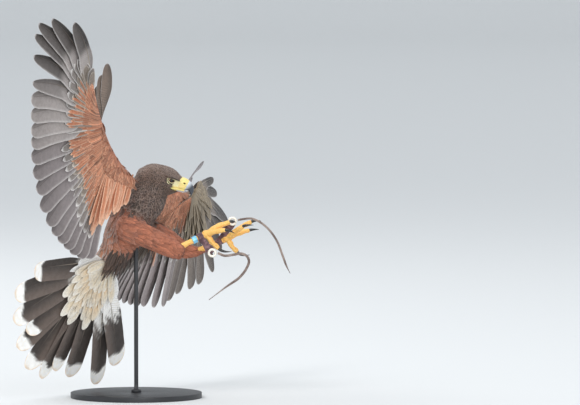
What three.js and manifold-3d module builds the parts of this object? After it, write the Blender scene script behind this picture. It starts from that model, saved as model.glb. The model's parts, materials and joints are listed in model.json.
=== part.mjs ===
// A life-size Harris's hawk braking to land: wings spread, tail fanned, legs thrown forward.
// It wears leather cuffs with eyelets and straps, and a leg ring, and stands on a plain display stand.
// Millimetres, +Z up, +X is where the bird faces, +Y is its left. The origin is under the middle of the stand.
import * as THREE from "three";
import { mergeVertices } from "three/addons/utils/BufferGeometryUtils.js";
import Module from "manifold-3d";

const wasm = await Module();
wasm.setup();

// Driving dimensions.
const GAP = 0.4; // between neighbouring pieces
const WING_FEATHERS = 21; // ten primaries and eleven secondaries
const PRIMARIES = 10;
const TARSUS_RADIUS = 5;
const BASE_RADIUS = 125;
const BASE_THICKNESS = 10;
const ROD_RADIUS = 4;
const ROD_SUNK = 30; // how far the rod goes up into the belly

const v = (x, y, z) => new THREE.Vector3(x, y, z);
const mix = (a, b, t) => a.clone().lerp(b, t);
const lerp = THREE.MathUtils.lerp;
const radians = THREE.MathUtils.degToRad;

// Solids

// A closed triangle mesh, as flat lists of points and faces, becomes a manifold solid that faces out.
function solid(points, faces) {
  const raw = new THREE.BufferGeometry();
  raw.setAttribute("position", new THREE.Float32BufferAttribute(points.flatMap((p) => [p.x, p.y, p.z]), 3));
  raw.setIndex(faces);
  return solidOf(raw);
}

function solidOf(geometry) {
  const bare = geometry.clone();
  bare.deleteAttribute("normal");
  bare.deleteAttribute("uv");
  const merged = mergeVertices(bare, 1e-4);
  const build = (triVerts) =>
    new wasm.Manifold(
      new wasm.Mesh({ numProp: 3, vertProperties: merged.attributes.position.array, triVerts }),
    );
  const triVerts = new Uint32Array(merged.index.array);
  const made = build(triVerts);
  return made.volume() > 0 ? made : build(triVerts.reverse());
}

const join = (pieces) => wasm.Manifold.union(pieces);

// Only the largest closed surface of a solid is kept.
function largest(made) {
  return made.decompose().reduce((best, piece) => (piece.volume() > best.volume() ? piece : best));
}

// Rings of points, all with as many points, become a tube with closed ends. Each end closes on a point
// that lies ahead of the middle of its last ring by the vector given for it.
function skin(rings, ahead = [v(0, 0, 0), v(0, 0, 0)]) {
  const around = rings[0].length;
  const points = rings.flat();
  const faces = [];
  for (let r = 0; r + 1 < rings.length; r++)
    for (let k = 0; k < around; k++) {
      const a = r * around + k;
      const b = r * around + ((k + 1) % around);
      faces.push(a, b, b + around, a, b + around, a + around);
    }
  for (const [ring, turned, push] of [[0, true, ahead[0]], [rings.length - 1, false, ahead[1]]]) {
    const middle = rings[ring].reduce((sum, p) => sum.add(p), v(0, 0, 0)).divideScalar(around);
    const centre = points.push(middle.add(push)) - 1;
    for (let k = 0; k < around; k++) {
      const a = ring * around + k;
      const b = ring * around + ((k + 1) % around);
      faces.push(...(turned ? [b, a, centre] : [a, b, centre]));
    }
  }
  return solid(points, faces);
}

// Smooth values between a list of stations, at a share t of the whole run.
function smooth(values, t) {
  const line = new THREE.CatmullRomCurve3(values.map((value, i) => v(i, value, 0)));
  return line.getPoint(t).y;
}

// A rounded body: an ellipse carried along a path. Each station is { at, wide, deep }; side is the
// direction of the width. The ends are drawn in over the shares given in ends and close on a pole, so
// that they are round, unless flat says otherwise.
function flesh(stations, { side, rings = 10, around = 14, grow = 0, flat = false, ends = [0.6] }) {
  const path = new THREE.CatmullRomCurve3(stations.map((s) => s.at), false, "centripetal");
  const ringAt = (t, shrink, push) => {
    const along = path.getTangent(t);
    const across = side.clone().addScaledVector(along, -side.dot(along)).normalize();
    const up = along.clone().cross(across);
    const centre = path.getPoint(t).addScaledVector(along, push);
    const wide = (smooth(stations.map((s) => s.wide), t) + grow) * shrink;
    const deep = (smooth(stations.map((s) => s.deep), t) + grow) * shrink;
    const points = [];
    for (let k = 0; k < around; k++) {
      const angle = (2 * Math.PI * k) / around;
      points.push(
        centre.clone()
          .addScaledVector(across, wide * Math.cos(angle))
          .addScaledVector(up, deep * Math.sin(angle)),
      );
    }
    return points;
  };
  const all = [];
  for (let i = 0; i <= rings; i++) all.push(ringAt(i / rings, 1, 0));
  if (flat) return skin(all);
  const cap = (t, sign) => {
    const last = stations[sign < 0 ? 0 : stations.length - 1];
    const reach = Math.min(last.wide, last.deep) * 0.7 + grow;
    const drawn = ends.map((e) => ringAt(t, Math.sqrt(1 - e * e), sign * reach * e));
    const pole = path.getTangent(t).multiplyScalar(sign * reach * (1 - ends[ends.length - 1]));
    return [drawn, pole];
  };
  const [start, startPole] = cap(0, -1);
  const [end, endPole] = cap(1, 1);
  return skin([...start.reverse(), ...all, ...end], [startPole, endPole]);
}

// Feathers

// The outline of each kind of feather: at each share of its length, the shares of its full width that
// its leading and trailing vanes have there. Every feather starts as a bare narrow quill.
const OUTLINES = {
  finger: [[0, 0.14, 0.06], [0.15, 0.14, 0.06], [0.42, 1, 1], [0.6, 0.82, 0.82], [0.87, 0.64, 0.64], [1, 0.14, 0.14]],
  broad: [[0, 0.1, 0.06], [0.14, 0.1, 0.06], [0.3, 0.5, 0.45], [0.5, 1, 1], [0.88, 0.82, 0.82], [1, 0.22, 0.22]],
  rounded: [[0, 0.1, 0.06], [0.12, 0.1, 0.06], [0.28, 0.5, 0.45], [0.5, 0.95, 0.95], [0.93, 0.9, 0.9], [1, 0.4, 0.4]],
  covert: [[0, 0.35, 0.35], [0.35, 0.85, 0.85], [0.8, 1, 1], [1, 0.35, 0.4]],
};

// One feather as a thin closed plate, thickest along its shaft where ridged. dir runs from root to tip,
// normal is its upper side, and its trailing vane lies towards normal x dir, or the other way where
// hand is -1. sweep bows the feather towards its leading side and rise towards its lower side, as
// shares of the length of the feather it follows. roll lowers its trailing vane, in degrees.
function vane({ root, dir, normal, hand = 1, length, follows = length, lead, trail, kind = "broad",
  thick = 0.9, sweep = 0, rise = 0, roll = 0, ridged = false, grow = 0 }) {
  const up = normal.clone().addScaledVector(dir, -normal.dot(dir)).normalize();
  const across = up.clone().cross(dir).multiplyScalar(hand);
  const turn = radians(roll);
  const side = across.clone().multiplyScalar(Math.cos(turn)).addScaledVector(up, -Math.sin(turn));
  const face = up.clone().multiplyScalar(Math.cos(turn)).addScaledVector(across, Math.sin(turn));
  const points = [];
  for (const [t, leadShare, trailShare] of OUTLINES[kind]) {
    const bow = length * t * ((length * t) / follows - 1);
    const centre = root.clone()
      .addScaledVector(dir, length * t)
      .addScaledVector(across, sweep * bow)
      .addScaledVector(up, rise * bow);
    const half = (thick * lerp(1, 0.75, t)) / 2 + grow;
    const edge = 0.28 + grow;
    const before = -lead * leadShare - grow;
    const behind = trail * trailShare + grow;
    const section = ridged
      ? [[before, edge], [0, half], [behind, edge], [behind, -edge], [0, -half], [before, -edge]]
      : [[before, half], [behind, half], [behind, -half], [before, -half]];
    for (const [out, high] of section)
      points.push(centre.clone().addScaledVector(side, out).addScaledVector(face, high));
  }
  const around = ridged ? 6 : 4;
  const steps = points.length / around - 1;
  const faces = [];
  for (let i = 0; i < steps; i++)
    for (let k = 0; k < around; k++) {
      const a = i * around + k;
      const b = i * around + ((k + 1) % around);
      if (k < around / 2) faces.push(a, b, b + around, a, b + around, a + around);
      else faces.push(a, b, a + around, b, b + around, a + around);
    }
  const lid = ridged ? [[0, 1, 4], [0, 4, 5], [1, 2, 3], [1, 3, 4]] : [[0, 1, 2], [0, 2, 3]];
  for (const [start, turned] of [[0, true], [steps * around, false]])
    for (const corners of lid) {
      const face = corners.map((k) => start + k);
      faces.push(...(turned ? face.reverse() : face));
    }
  return solid(points, faces);
}

// Directions at a few named feathers, blended smoothly to give one for every feather of a fan.
function fan(keys, count) {
  const curve = new THREE.CatmullRomCurve3(keys.map((k) => v(...k.towards)));
  const directions = [];
  for (let i = 0; i < count; i++) {
    const next = Math.max(1, keys.findIndex((k) => k.feather >= i));
    const from = keys[next - 1].feather;
    const share = (i - from) / (keys[next].feather - from);
    directions.push(curve.getPoint((next - 1 + share) / (keys.length - 1)).normalize());
  }
  return directions;
}

// Scene graph

const hawk = new THREE.Group();
const solids = {};

const FINISHES = {
  brown_feathers: [0x40332c, 0.8, 0],
  rufous_feathers: [0x8e4a2c, 0.8, 0],
  flight_feathers: [0x6d6663, 0.65, 0],
  tail_feathers: [0x2d2724, 0.65, 0],
  yellow_skin: [0xe8a62c, 0.5, 0],
  horn: [0x9fb0c4, 0.35, 0],
  claw: [0x2b2b2f, 0.3, 0],
  eye: [0x2a1710, 0.1, 0],
  leather: [0x5f453a, 0.7, 0],
  nickel: [0xd8d6ce, 0.25, 1],
  blue_ring: [0x5aa9d6, 0.4, 0],
  stand_black: [0x1d1d1f, 0.45, 0.6],
};

function show(name, made, finish) {
  const kept = largest(made);
  solids[name] = kept;
  const { vertProperties, triVerts } = kept.getMesh();
  const geometry = new THREE.BufferGeometry();
  geometry.setAttribute("position", new THREE.BufferAttribute(new Float32Array(vertProperties), 3));
  geometry.setIndex(new THREE.BufferAttribute(new Uint32Array(triVerts), 1));
  geometry.computeVertexNormals();
  const [color, roughness, metalness] = FINISHES[finish];
  const mesh = new THREE.Mesh(geometry, new THREE.MeshStandardMaterial({ color, roughness, metalness }));
  mesh.name = name;
  hawk.add(mesh);
}

// Body: where the parts of the bird are.

const LEFT = v(0.34, 0.89, -0.3).normalize(); // the bird's own left: it banks and turns a little
const SHOULDER = { R: v(-16, -25, 410), L: v(12, 50, 381) };
const HEAD = v(47.5, 12, 412);
const FACING = v(0.963, 0, -0.27).normalize(); // the head's own forward
const HEAD_LEFT = v(0, 1, 0);
const HEAD_UP = FACING.clone().cross(HEAD_LEFT);
// A place on the head, from distances forward, to its left and up.
const onHead = (forward, left, up) =>
  HEAD.clone().addScaledVector(FACING, forward).addScaledVector(HEAD_LEFT, left).addScaledVector(HEAD_UP, up);

const TORSO_STATIONS = [
  { at: v(7, 13, 371), wide: 31, deep: 31 },
  { at: v(4, 13, 360), wide: 41, deep: 38 },
  { at: v(-6, 11, 343), wide: 46, deep: 42 },
  { at: v(-22, 8, 312), wide: 45, deep: 39 },
  { at: v(-38, 5, 279), wide: 36, deep: 31 },
  { at: v(-55, 1, 252), wide: 22, deep: 18 },
];
const ROUND_ENDS = [0.35, 0.75];
const torsoSolid = (grow) => flesh(TORSO_STATIONS, { side: LEFT, rings: 8, around: 14, grow, ends: ROUND_ENDS });

const NECK_STATIONS = [
  { at: v(12, 13, 358), wide: 34, deep: 35 },
  { at: v(20, 13, 378), wide: 35, deep: 39 },
  { at: v(24, 12, 396), wide: 31, deep: 38 },
  { at: v(24, 12, 414), wide: 24, deep: 31 },
];
const neckSolid = (grow) => flesh(NECK_STATIONS, { side: HEAD_LEFT, rings: 4, around: 12, grow });

// Head, with brows, lids, eyes, cere and bill.

const EYE_RADIUS = 8.5;
const EYE_FORWARD = 17.5;
const EYE_UP = 7;
const EYE_OUT = 14.5;
const LID_OUT = 5.2;
const LID_RADIUS = 6.6;
const LID_SECTION = 1.5;
const eyeAt = (sign) => onHead(EYE_FORWARD, sign * EYE_OUT, EYE_UP);

function ball(at, radius, across = 10, high = 7) {
  return solidOf(new THREE.SphereGeometry(radius, across, high).translate(at.x, at.y, at.z));
}

// A straight round bar between two points, with its radius at each end.
function bar(from, to, startRadius, endRadius = startRadius, sides = 10) {
  const along = to.clone().sub(from);
  const geometry = new THREE.CylinderGeometry(endRadius, startRadius, along.length(), sides);
  const turn = new THREE.Quaternion().setFromUnitVectors(v(0, 1, 0), along.clone().normalize());
  const middle = mix(from, to, 0.5);
  return solidOf(geometry.applyQuaternion(turn).translate(middle.x, middle.y, middle.z));
}

// A ring with a round section, its hole along axis.
function hoop(at, axis, radius, section, sides = 20, around = 8) {
  const geometry = new THREE.TorusGeometry(radius, section, around, sides);
  const turn = new THREE.Quaternion().setFromUnitVectors(v(0, 0, 1), axis);
  return solidOf(geometry.applyQuaternion(turn).translate(at.x, at.y, at.z));
}

// A run of stations along the head: { forward, up, wide, deep }.
const headPiece = (stations, options) =>
  flesh(
    stations.map(({ forward, up, wide, deep }) => ({ at: onHead(forward, 0, up), wide, deep })),
    { side: HEAD_LEFT, ...options },
  );

const SKULL_STATIONS = [
  { forward: -34, up: -3.4, wide: 21, deep: 20 },
  { forward: -20, up: 1.8, wide: 25, deep: 26.5 },
  { forward: -2, up: 3, wide: 26, deep: 28 },
  { forward: 14, up: 3, wide: 23, deep: 27.5 },
  { forward: 26, up: 3.5, wide: 16.5, deep: 23 },
  { forward: 34, up: 4, wide: 10.5, deep: 17 },
];
const BILL_STATIONS = [
  { forward: 30, up: 5, wide: 9.5, deep: 12 },
  { forward: 42, up: 5.5, wide: 8.6, deep: 12 },
  { forward: 51, up: 4.5, wide: 6.4, deep: 9.8 },
  { forward: 58, up: 0.5, wide: 4.3, deep: 6.3 },
  { forward: 61, up: -5.5, wide: 2.8, deep: 3.4 },
  { forward: 62.3, up: -11, wide: 0.9, deep: 1 },
];
const LOWER_BILL_STATIONS = [
  { forward: 26, up: -8, wide: 8.4, deep: 3.4 },
  { forward: 42, up: -7.2, wide: 6.8, deep: 3 },
  { forward: 54, up: -5.6, wide: 3.6, deep: 2 },
];
// The line of the mouth on each side: { forward, out, up }.
const MOUTH_LINE = [
  { forward: 17, out: 20, up: -6.9 },
  { forward: 28, out: 15.5, up: -6.4 },
  { forward: 38, out: 9.5, up: -6.2 },
];
const MOUTH_DEPTH = 3.5;
const MOUTH_GAP = 0.7;
const headSolid = (grow) => headPiece(SKULL_STATIONS, { rings: 6, around: 14, grow, ends: ROUND_ENDS });
const billSolid = (grow) => headPiece(BILL_STATIONS, { rings: 8, around: 10, grow });
const lowerBill = (grow) => headPiece(LOWER_BILL_STATIONS, { rings: 3, around: 8, grow });

const CERE_FRONT = 49;
// A slab across the head's forward axis, slanted as the edge of the cere is.
function slab(forward, thickness) {
  const SIZE = 60;
  const SLANT = radians(13);
  const box = new THREE.BoxGeometry(thickness, SIZE, SIZE);
  const axes = new THREE.Matrix4().makeBasis(FACING, HEAD_LEFT, HEAD_UP);
  box.rotateY(SLANT).applyMatrix4(axes);
  const at = onHead(forward, 0, 0);
  return solidOf(box.translate(at.x, at.y, at.z));
}

function makeHead() {
  const brows = [-1, 1].map((sign) =>
    flesh(
      [
        { at: onHead(4, sign * 20.5, 12), wide: 3.5, deep: 2.2 },
        { at: onHead(17, sign * 20, 12.6), wide: 4.4, deep: 2.2 },
        { at: onHead(29, sign * 13, 10), wide: 2.6, deep: 1.8 },
      ],
      { side: HEAD_LEFT, rings: 2, around: 5 },
    ),
  );
  const outward = (sign) => onHead(3, sign * 10, 0).sub(HEAD).normalize();
  const lids = [-1, 1].map((sign) => {
    const at = eyeAt(sign).addScaledVector(outward(sign), LID_OUT);
    return hoop(at, outward(sign), LID_RADIUS, LID_SECTION, 10, 3);
  });
  const sockets = [-1, 1].map((sign) => ball(eyeAt(sign), EYE_RADIUS + GAP));
  const grooves = [-1, 1].map((sign) =>
    flesh(
      MOUTH_LINE.map(({ forward, out, up }) => ({
        at: onHead(forward, sign * out, up),
        wide: MOUTH_DEPTH,
        deep: MOUTH_GAP,
      })),
      { side: HEAD_LEFT, rings: 2, around: 4, flat: true },
    ),
  );
  const room = join([...sockets, billSolid(GAP), lowerBill(2 * GAP), ...grooves]);
  show("head", join([headSolid(0), ...brows, ...lids]).subtract(room), "brown_feathers");

  const upper = billSolid(0);
  const pits = [-1, 1].map((sign) => {
    const from = onHead(44.5, sign * 5.5, 7.5);
    return bar(from, onHead(45, sign * 11, 8), 1.6, 2, 8);
  });
  const behind = slab(CERE_FRONT + 40, 80 - GAP);
  const ahead = slab(CERE_FRONT - 40, 80 - GAP);
  show("cere", upper.subtract(behind).subtract(join(pits)), "yellow_skin");
  show("bill_upper", upper.subtract(ahead), "horn");
  show("bill_lower", lowerBill(0).subtract(billSolid(1.5 * GAP)), "horn");
  for (const [name, sign] of [["eye_R", -1], ["eye_L", 1]]) show(name, ball(eyeAt(sign), EYE_RADIUS), "eye");
  show("neck", neckSolid(0).subtract(headSolid(GAP)).subtract(torsoSolid(GAP)), "brown_feathers");
}

// Wings

// Feather lengths from the outermost primary to the innermost secondary, in life.
const FEATHER_LENGTHS = [198, 252, 284, 285, 268, 246, 236, 227, 220, 218,
  218, 216, 213, 212, 207, 203, 197, 190, 184, 176, 163];

const WINGS = {
  R: {
    hand: -1,
    shoulder: SHOULDER.R,
    elbow: v(-58, -88, 432),
    wrist: v(-66, -125, 523),
    digit: v(-85, -190, 592),
    upper: v(-0.72, 0.62, 0.3).normalize(), // out of the upper side of the wing
    bow: { sweep: 0.24, rise: 0.06 }, // how its primaries are bent
    roll: [[0, 9], [20, 9]], // degrees that flight feathers are turned, so that each lies over its neighbour
    sag: 8, // how far the front edge curves in between shoulder and wrist
    fan: [
      { feather: 0, towards: [-0.11, -0.74, 0.66] },
      { feather: 1, towards: [-0.25, -0.78, 0.58] },
      { feather: 2, towards: [-0.31, -0.8, 0.51] },
      { feather: 3, towards: [-0.34, -0.82, 0.46] },
      { feather: 4, towards: [-0.38, -0.85, 0.37] },
      { feather: 5, towards: [-0.43, -0.87, 0.23] },
      { feather: 6, towards: [-0.47, -0.87, 0.15] },
      { feather: 8, towards: [-0.53, -0.85, -0.05] },
      { feather: 10, towards: [-0.55, -0.81, -0.2] },
      { feather: 12, towards: [-0.53, -0.74, -0.42] },
      { feather: 14, towards: [-0.46, -0.59, -0.66] },
      { feather: 16, towards: [-0.38, -0.48, -0.79] },
      { feather: 18, towards: [-0.29, -0.35, -0.89] },
      { feather: 20, towards: [-0.16, -0.22, -0.96] },
    ],
    alula: { towards: v(0.11, -0.36, 0.93).normalize(), upper: v(-0.72, 0.62, 0.3).normalize(), length: 116, lift: 0, wide: 31 },
    slim: [1, 1],
    axillars: { from: 45, to: 125, towards: v(-0.3, -0.3, -0.9) },
  },
  L: {
    hand: 1,
    shoulder: SHOULDER.L,
    elbow: v(40, 105, 335),
    wrist: v(92, 172, 374),
    digit: v(105, 264, 379),
    upper: v(-0.92, 0.34, 0.14).normalize(),
    bow: { sweep: 0.1, rise: 0.03 },
    roll: [[0, 6], [2, 4], [3, -7], [9, -7], [10, 8], [20, 7]],
    sag: -5,
    fan: [
      { feather: 0, towards: [0.17, 0.98, 0.08] },
      { feather: 1, towards: [0.165, 0.985, -0.05] },
      { feather: 2, towards: [0.23, 0.94, -0.24] },
      { feather: 3, towards: [0.23, 0.92, -0.32] },
      { feather: 4, towards: [0.21, 0.87, -0.45] },
      { feather: 5, towards: [0.17, 0.74, -0.65] },
      { feather: 6, towards: [0.08, 0.65, -0.76] },
      { feather: 7, towards: [0.01, 0.57, -0.82] },
      { feather: 8, towards: [-0.1, 0.46, -0.88] },
      { feather: 9, towards: [-0.18, 0.29, -0.94] },
      { feather: 10, towards: [-0.2, 0.17, -0.965] },
      { feather: 12, towards: [-0.33, 0.05, -0.94] },
      { feather: 14, towards: [-0.41, 0.02, -0.91] },
      { feather: 16, towards: [-0.49, -0.07, -0.87] },
      { feather: 18, towards: [-0.53, -0.17, -0.83] },
      { feather: 20, towards: [-0.55, -0.29, -0.78] },
    ],
    alula: { towards: v(0.4, 0.84, 0.52).normalize(), upper: v(-0.75, 0.5, 0.4).normalize(), length: 104, lift: 8, wide: 20 },
    slim: [0.55, 0.75], // how narrow its first two primaries are
    axillars: { from: 45, to: 100, towards: v(-0.2, 0.25, -0.95) },
  },
};

const SHINGLE = 9; // degrees that each covert is rolled, so that it lies over its neighbour
const STACK = 0.5; // how far each feather is rooted above or below the one outside it, as it is rolled
const STACK_START = -3;
const ROOT_SUNK = 5;

// How far a flight feather is rolled, between the feathers that the wing names.
function rollOf(wing, i) {
  const next = Math.max(1, wing.roll.findIndex(([feather]) => feather >= i));
  const [from, start] = wing.roll[next - 1];
  const [to, end] = wing.roll[next];
  return lerp(start, end, (i - from) / (to - from));
}

// Where each flight feather is rooted, which way it points, and its upper side.
function flightFeathers(wing) {
  const directions = fan(wing.fan, WING_FEATHERS);
  const roots = directions.map((_, i) => {
    if (i < PRIMARIES) return mix(wing.digit, wing.wrist, (i / (PRIMARIES - 1)) * 0.94);
    return mix(wing.wrist, wing.elbow, 0.08 + 0.096 * (i - PRIMARIES));
  });
  const middles = directions.map((d, i) => roots[i].clone().addScaledVector(d, FEATHER_LENGTHS[i] * 0.55));
  const faces = directions.map((dir, i) => {
    const step = middles[Math.min(i + 1, WING_FEATHERS - 1)].clone().sub(middles[Math.max(i - 1, 0)]);
    const face = dir.clone().cross(step).normalize();
    return face.dot(wing.upper) < 0 ? face.negate() : face;
  });
  let height = STACK_START;
  return directions.map((dir, i) => {
    if (i > 0) height += STACK * Math.sign(rollOf(wing, i));
    const near = faces.slice(Math.max(i - 2, 0), i + 3);
    const normal = near.reduce((sum, f) => sum.add(f), v(0, 0, 0)).normalize();
    return {
      root: roots[i].clone().addScaledVector(normal, height),
      dir,
      normal,
      length: FEATHER_LENGTHS[i],
      sweep: i < PRIMARIES ? wing.bow.sweep : 0.06,
      rise: i < PRIMARIES ? wing.bow.rise : -0.05,
    };
  });
}

function flightVane(wing, feather, i, grow = 0) {
  const outer = i < 6;
  const slim = wing.slim[i] ?? 1;
  return vane({
    ...feather,
    root: feather.root.clone().addScaledVector(feather.dir, -ROOT_SUNK),
    length: feather.length + ROOT_SUNK,
    hand: wing.hand,
    lead: (outer ? 11 : 14) * slim,
    trail: (outer ? 28 : 27) * slim,
    kind: outer ? "finger" : "broad",
    roll: rollOf(wing, i),
    grow,
  });
}

// A row of coverts over the roots of the flight feathers: on the upper side where lift is positive.
function covertRow(wing, feathers, { first, last, every = 1, share, lift, wide, back, grow = 0 }) {
  const row = [];
  for (let i = first; i <= last; i += every) {
    const { root, dir, normal, length } = feathers[i];
    row.push(
      vane({
        ...feathers[i],
        root: root.clone().addScaledVector(normal, lift).addScaledVector(dir, -back),
        hand: wing.hand,
        length: length * share + back,
        follows: length,
        lead: wide * 0.45,
        trail: wide * 0.55,
        kind: "covert",
        roll: SHINGLE,
        thick: 0.8,
        grow,
      }),
    );
  }
  return row;
}

// The arm: an ellipse whose chord runs from the skin fold in front of the arm back to the bones.
function armSolid(wing, grow = 0) {
  const THICK = [17, 14, 12, 10.5, 9.5, 9];
  const sag = v(0, 0, 0).addScaledVector(mix(wing.shoulder, wing.wrist, 0.5).sub(wing.elbow).normalize(), -wing.sag);
  const stations = THICK.map((deep, i) => {
    const t = i / (THICK.length - 1);
    const front = mix(wing.shoulder, wing.wrist, t).addScaledVector(sag, 4 * t * (1 - t));
    const back = t < 0.5 ? mix(wing.shoulder, wing.elbow, t * 2) : mix(wing.elbow, wing.wrist, t * 2 - 1);
    return { at: mix(front, back, 0.5), wide: front.distanceTo(back) / 2 + lerp(17, 8, t), deep };
  });
  const chord = wing.elbow.clone().sub(mix(wing.shoulder, wing.wrist, 0.5)).normalize();
  return flesh(stations, { side: chord, rings: 6, around: 10, grow, flat: true });
}

function handSolid(wing, feathers, grow = 0) {
  const stations = [
    { at: 0.03, wide: 9.5, deep: 6.5 },
    { at: 0.3, wide: 9, deep: 6 },
    { at: 0.7, wide: 7, deep: 5.5 },
    { at: 1.02, wide: 4.5, deep: 4 },
  ].map(({ at, wide, deep }) => ({ at: wing.wrist.clone().lerp(wing.digit, at), wide, deep }));
  return flesh(stations, { side: feathers[7].dir, rings: 4, around: 10, grow });
}

// The thumb, with the three stiff feathers of the alula.
function thumbPieces(wing, feathers, grow = 0) {
  const { towards, upper, length, lift, wide } = wing.alula;
  const root = mix(wing.wrist, wing.digit, 0.16)
    .addScaledVector(feathers[7].dir, -13)
    .addScaledVector(wing.upper, lift);
  const quills = [0, 1, 2].map((k) =>
    vane({
      root: root.clone().addScaledVector(upper, 2.2 * k).addScaledVector(towards, -2 * k),
      dir: towards.clone().addScaledVector(feathers[7].dir, 0.15 * k).normalize(),
      normal: upper,
      hand: wing.hand,
      length: length * (1 - 0.17 * k),
      lead: wide * 0.4,
      trail: wide * 0.6,
      thick: 1,
      sweep: 0.25,
      grow,
    }),
  );
  const bone = flesh(
    [
      { at: root.clone().addScaledVector(towards, -6), wide: 4.5, deep: 4 },
      { at: root.clone().addScaledVector(towards, 20).addScaledVector(upper, 2), wide: 4, deep: 4.5 },
    ],
    { side: feathers[7].dir, rings: 1, around: 6, grow },
  );
  return [...quills, bone];
}

function makeWing(side, wing) {
  const feathers = flightFeathers(wing);
  const flight = feathers.map((feather, i) => flightVane(wing, feather, i));
  const handRow = (lift, share, grow = 0) =>
    covertRow(wing, feathers, { first: 1, last: PRIMARIES - 1, every: 2, share, lift, wide: 20, back: 2, grow });
  const armRow = (lift, share, every) =>
    covertRow(wing, feathers, { first: PRIMARIES, last: WING_FEATHERS - 1, every, share, lift, wide: 18, back: 4 });
  const axillars = [0, 1, 2, 3].map((k) => {
    const t = 0.25 + (0.7 * k) / 3;
    return vane({
      root: mix(wing.shoulder, wing.elbow, t).addScaledVector(wing.upper, -5 - 1.6 * (3 - k)),
      dir: wing.axillars.towards.clone().addScaledVector(wing.upper, -0.07).normalize(),
      normal: wing.upper,
      hand: wing.hand,
      length: lerp(wing.axillars.from, wing.axillars.to, t),
      lead: 9,
      trail: 9,
      kind: "covert",
      roll: SHINGLE,
    });
  });

  const handCore = handSolid(wing, feathers, GAP);
  const armCore = armSolid(wing, GAP);
  show(
    `alula_${side}`,
    join(thumbPieces(wing, feathers)).subtract(handCore).subtract(armCore),
    "flight_feathers",
  );
  const hand = join([handSolid(wing, feathers), ...flight.slice(0, PRIMARIES), ...handRow(-4.4, 0.42), ...handRow(3.6, 0.36)]);
  show(`wing_hand_${side}`, hand.subtract(armCore).subtract(join(thumbPieces(wing, feathers, GAP))), "flight_feathers");
  const arm = join([
    armSolid(wing),
    ...flight.slice(PRIMARIES),
    ...armRow(-4.4, 0.4, 1),
    ...armRow(-7.2, 0.22, 4),
    ...armRow(3.6, 0.36, 2),
    ...axillars,
  ]);
  const inner = PRIMARIES - 1;
  const room = join([
    handCore,
    ...thumbPieces(wing, feathers, GAP),
    flightVane(wing, feathers[inner], inner, GAP),
    ...handRow(-4.4, 0.42, GAP).slice(-1),
    ...handRow(3.6, 0.36, GAP).slice(-1),
  ]);
  show(
    `wing_arm_${side}`,
    arm.subtract(room).subtract(torsoSolid(GAP)).subtract(neckSolid(GAP)),
    "flight_feathers",
  );
}

// Tail

const TAIL = {
  root: v(-66, 0, 255),
  along: v(-0.532, -0.192, -0.825).normalize(),
  left: v(0.437, 0.772, -0.462).normalize(),
  cup: 0.086, // how far the sides of the fan bend down, for the square of the angle in radians
  // Each feather from the bird's right to its left: degrees from the middle, length, and width of its
  // outer vane.
  fan: [
    [-61.7, 206, 14], [-50.4, 245, 17], [-36.1, 240, 18], [-23.1, 211, 16],
    [-19.6, 243, 18], [-5.2, 249, 18], [0.9, 232, 16], [7.2, 246, 18],
    [13.3, 222, 17], [24.1, 227, 29], [42.1, 247, 22], [53.9, 219, 25],
  ],
};

function makeTail() {
  const under = TAIL.along.clone().cross(TAIL.left).normalize();
  const upper = under.clone().negate();
  const pointing = (angle) =>
    TAIL.along.clone()
      .multiplyScalar(Math.cos(radians(angle)))
      .addScaledVector(TAIL.left, Math.sin(radians(angle)))
      .addScaledVector(under, TAIL.cup * radians(angle) ** 2)
      .normalize();
  const core = flesh(
    [
      { at: TAIL.root.clone().addScaledVector(TAIL.along, -22), wide: 24, deep: 17 },
      { at: TAIL.root.clone().addScaledVector(TAIL.along, 4), wide: 22, deep: 13 },
      { at: TAIL.root.clone().addScaledVector(TAIL.along, 26), wide: 18, deep: 6 },
    ],
    { side: TAIL.left, rings: 5, around: 14 },
  );
  const feathers = [];
  TAIL.fan.forEach(([angle, length, lead], i) => {
    const place = (2 * i) / (TAIL.fan.length - 1) - 1; // from -1 at the bird's right to 1 at its left
    const top = i === TAIL.fan.length / 2; // one of the middle pair lies over all the others
    feathers.push(
      vane({
        root: TAIL.root.clone()
          .addScaledVector(TAIL.left, 13 * place)
          .addScaledVector(under, top ? -3 : 2.6 * Math.abs(place)),
        dir: pointing(angle),
        normal: upper,
        hand: place > 0 ? 1 : -1,
        length,
        lead,
        trail: 28,
        kind: "rounded",
        thick: 1,
        sweep: 0.02,
        roll: top ? 0 : 6,
      }),
    );
  });
  const covertTier = ({ count, spread, length, lift }) => {
    const row = [];
    for (let i = 0; i < count; i++) {
      const place = (2 * i) / (count - 1) - 1;
      row.push(
        vane({
          root: TAIL.root.clone()
            .addScaledVector(TAIL.along, -4)
            .addScaledVector(TAIL.left, 13 * place)
            .addScaledVector(under, lift),
          dir: pointing(spread * place),
          normal: upper,
          length: length * (1 - 0.15 * Math.abs(place)),
          lead: 10,
          trail: 10,
          kind: "covert",
          roll: SHINGLE,
          thick: 0.8,
        }),
      );
    }
    return row;
  };
  const tail = join([
    core,
    ...feathers,
    ...covertTier({ count: 5, spread: 24, length: 138, lift: 8 }),
    ...covertTier({ count: 4, spread: 36, length: 92, lift: 11 }),
    ...covertTier({ count: 4, spread: 42, length: 88, lift: -7 }),
  ]);
  show("tail", tail.subtract(torsoSolid(GAP)), "tail_feathers");
}

// Legs

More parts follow.
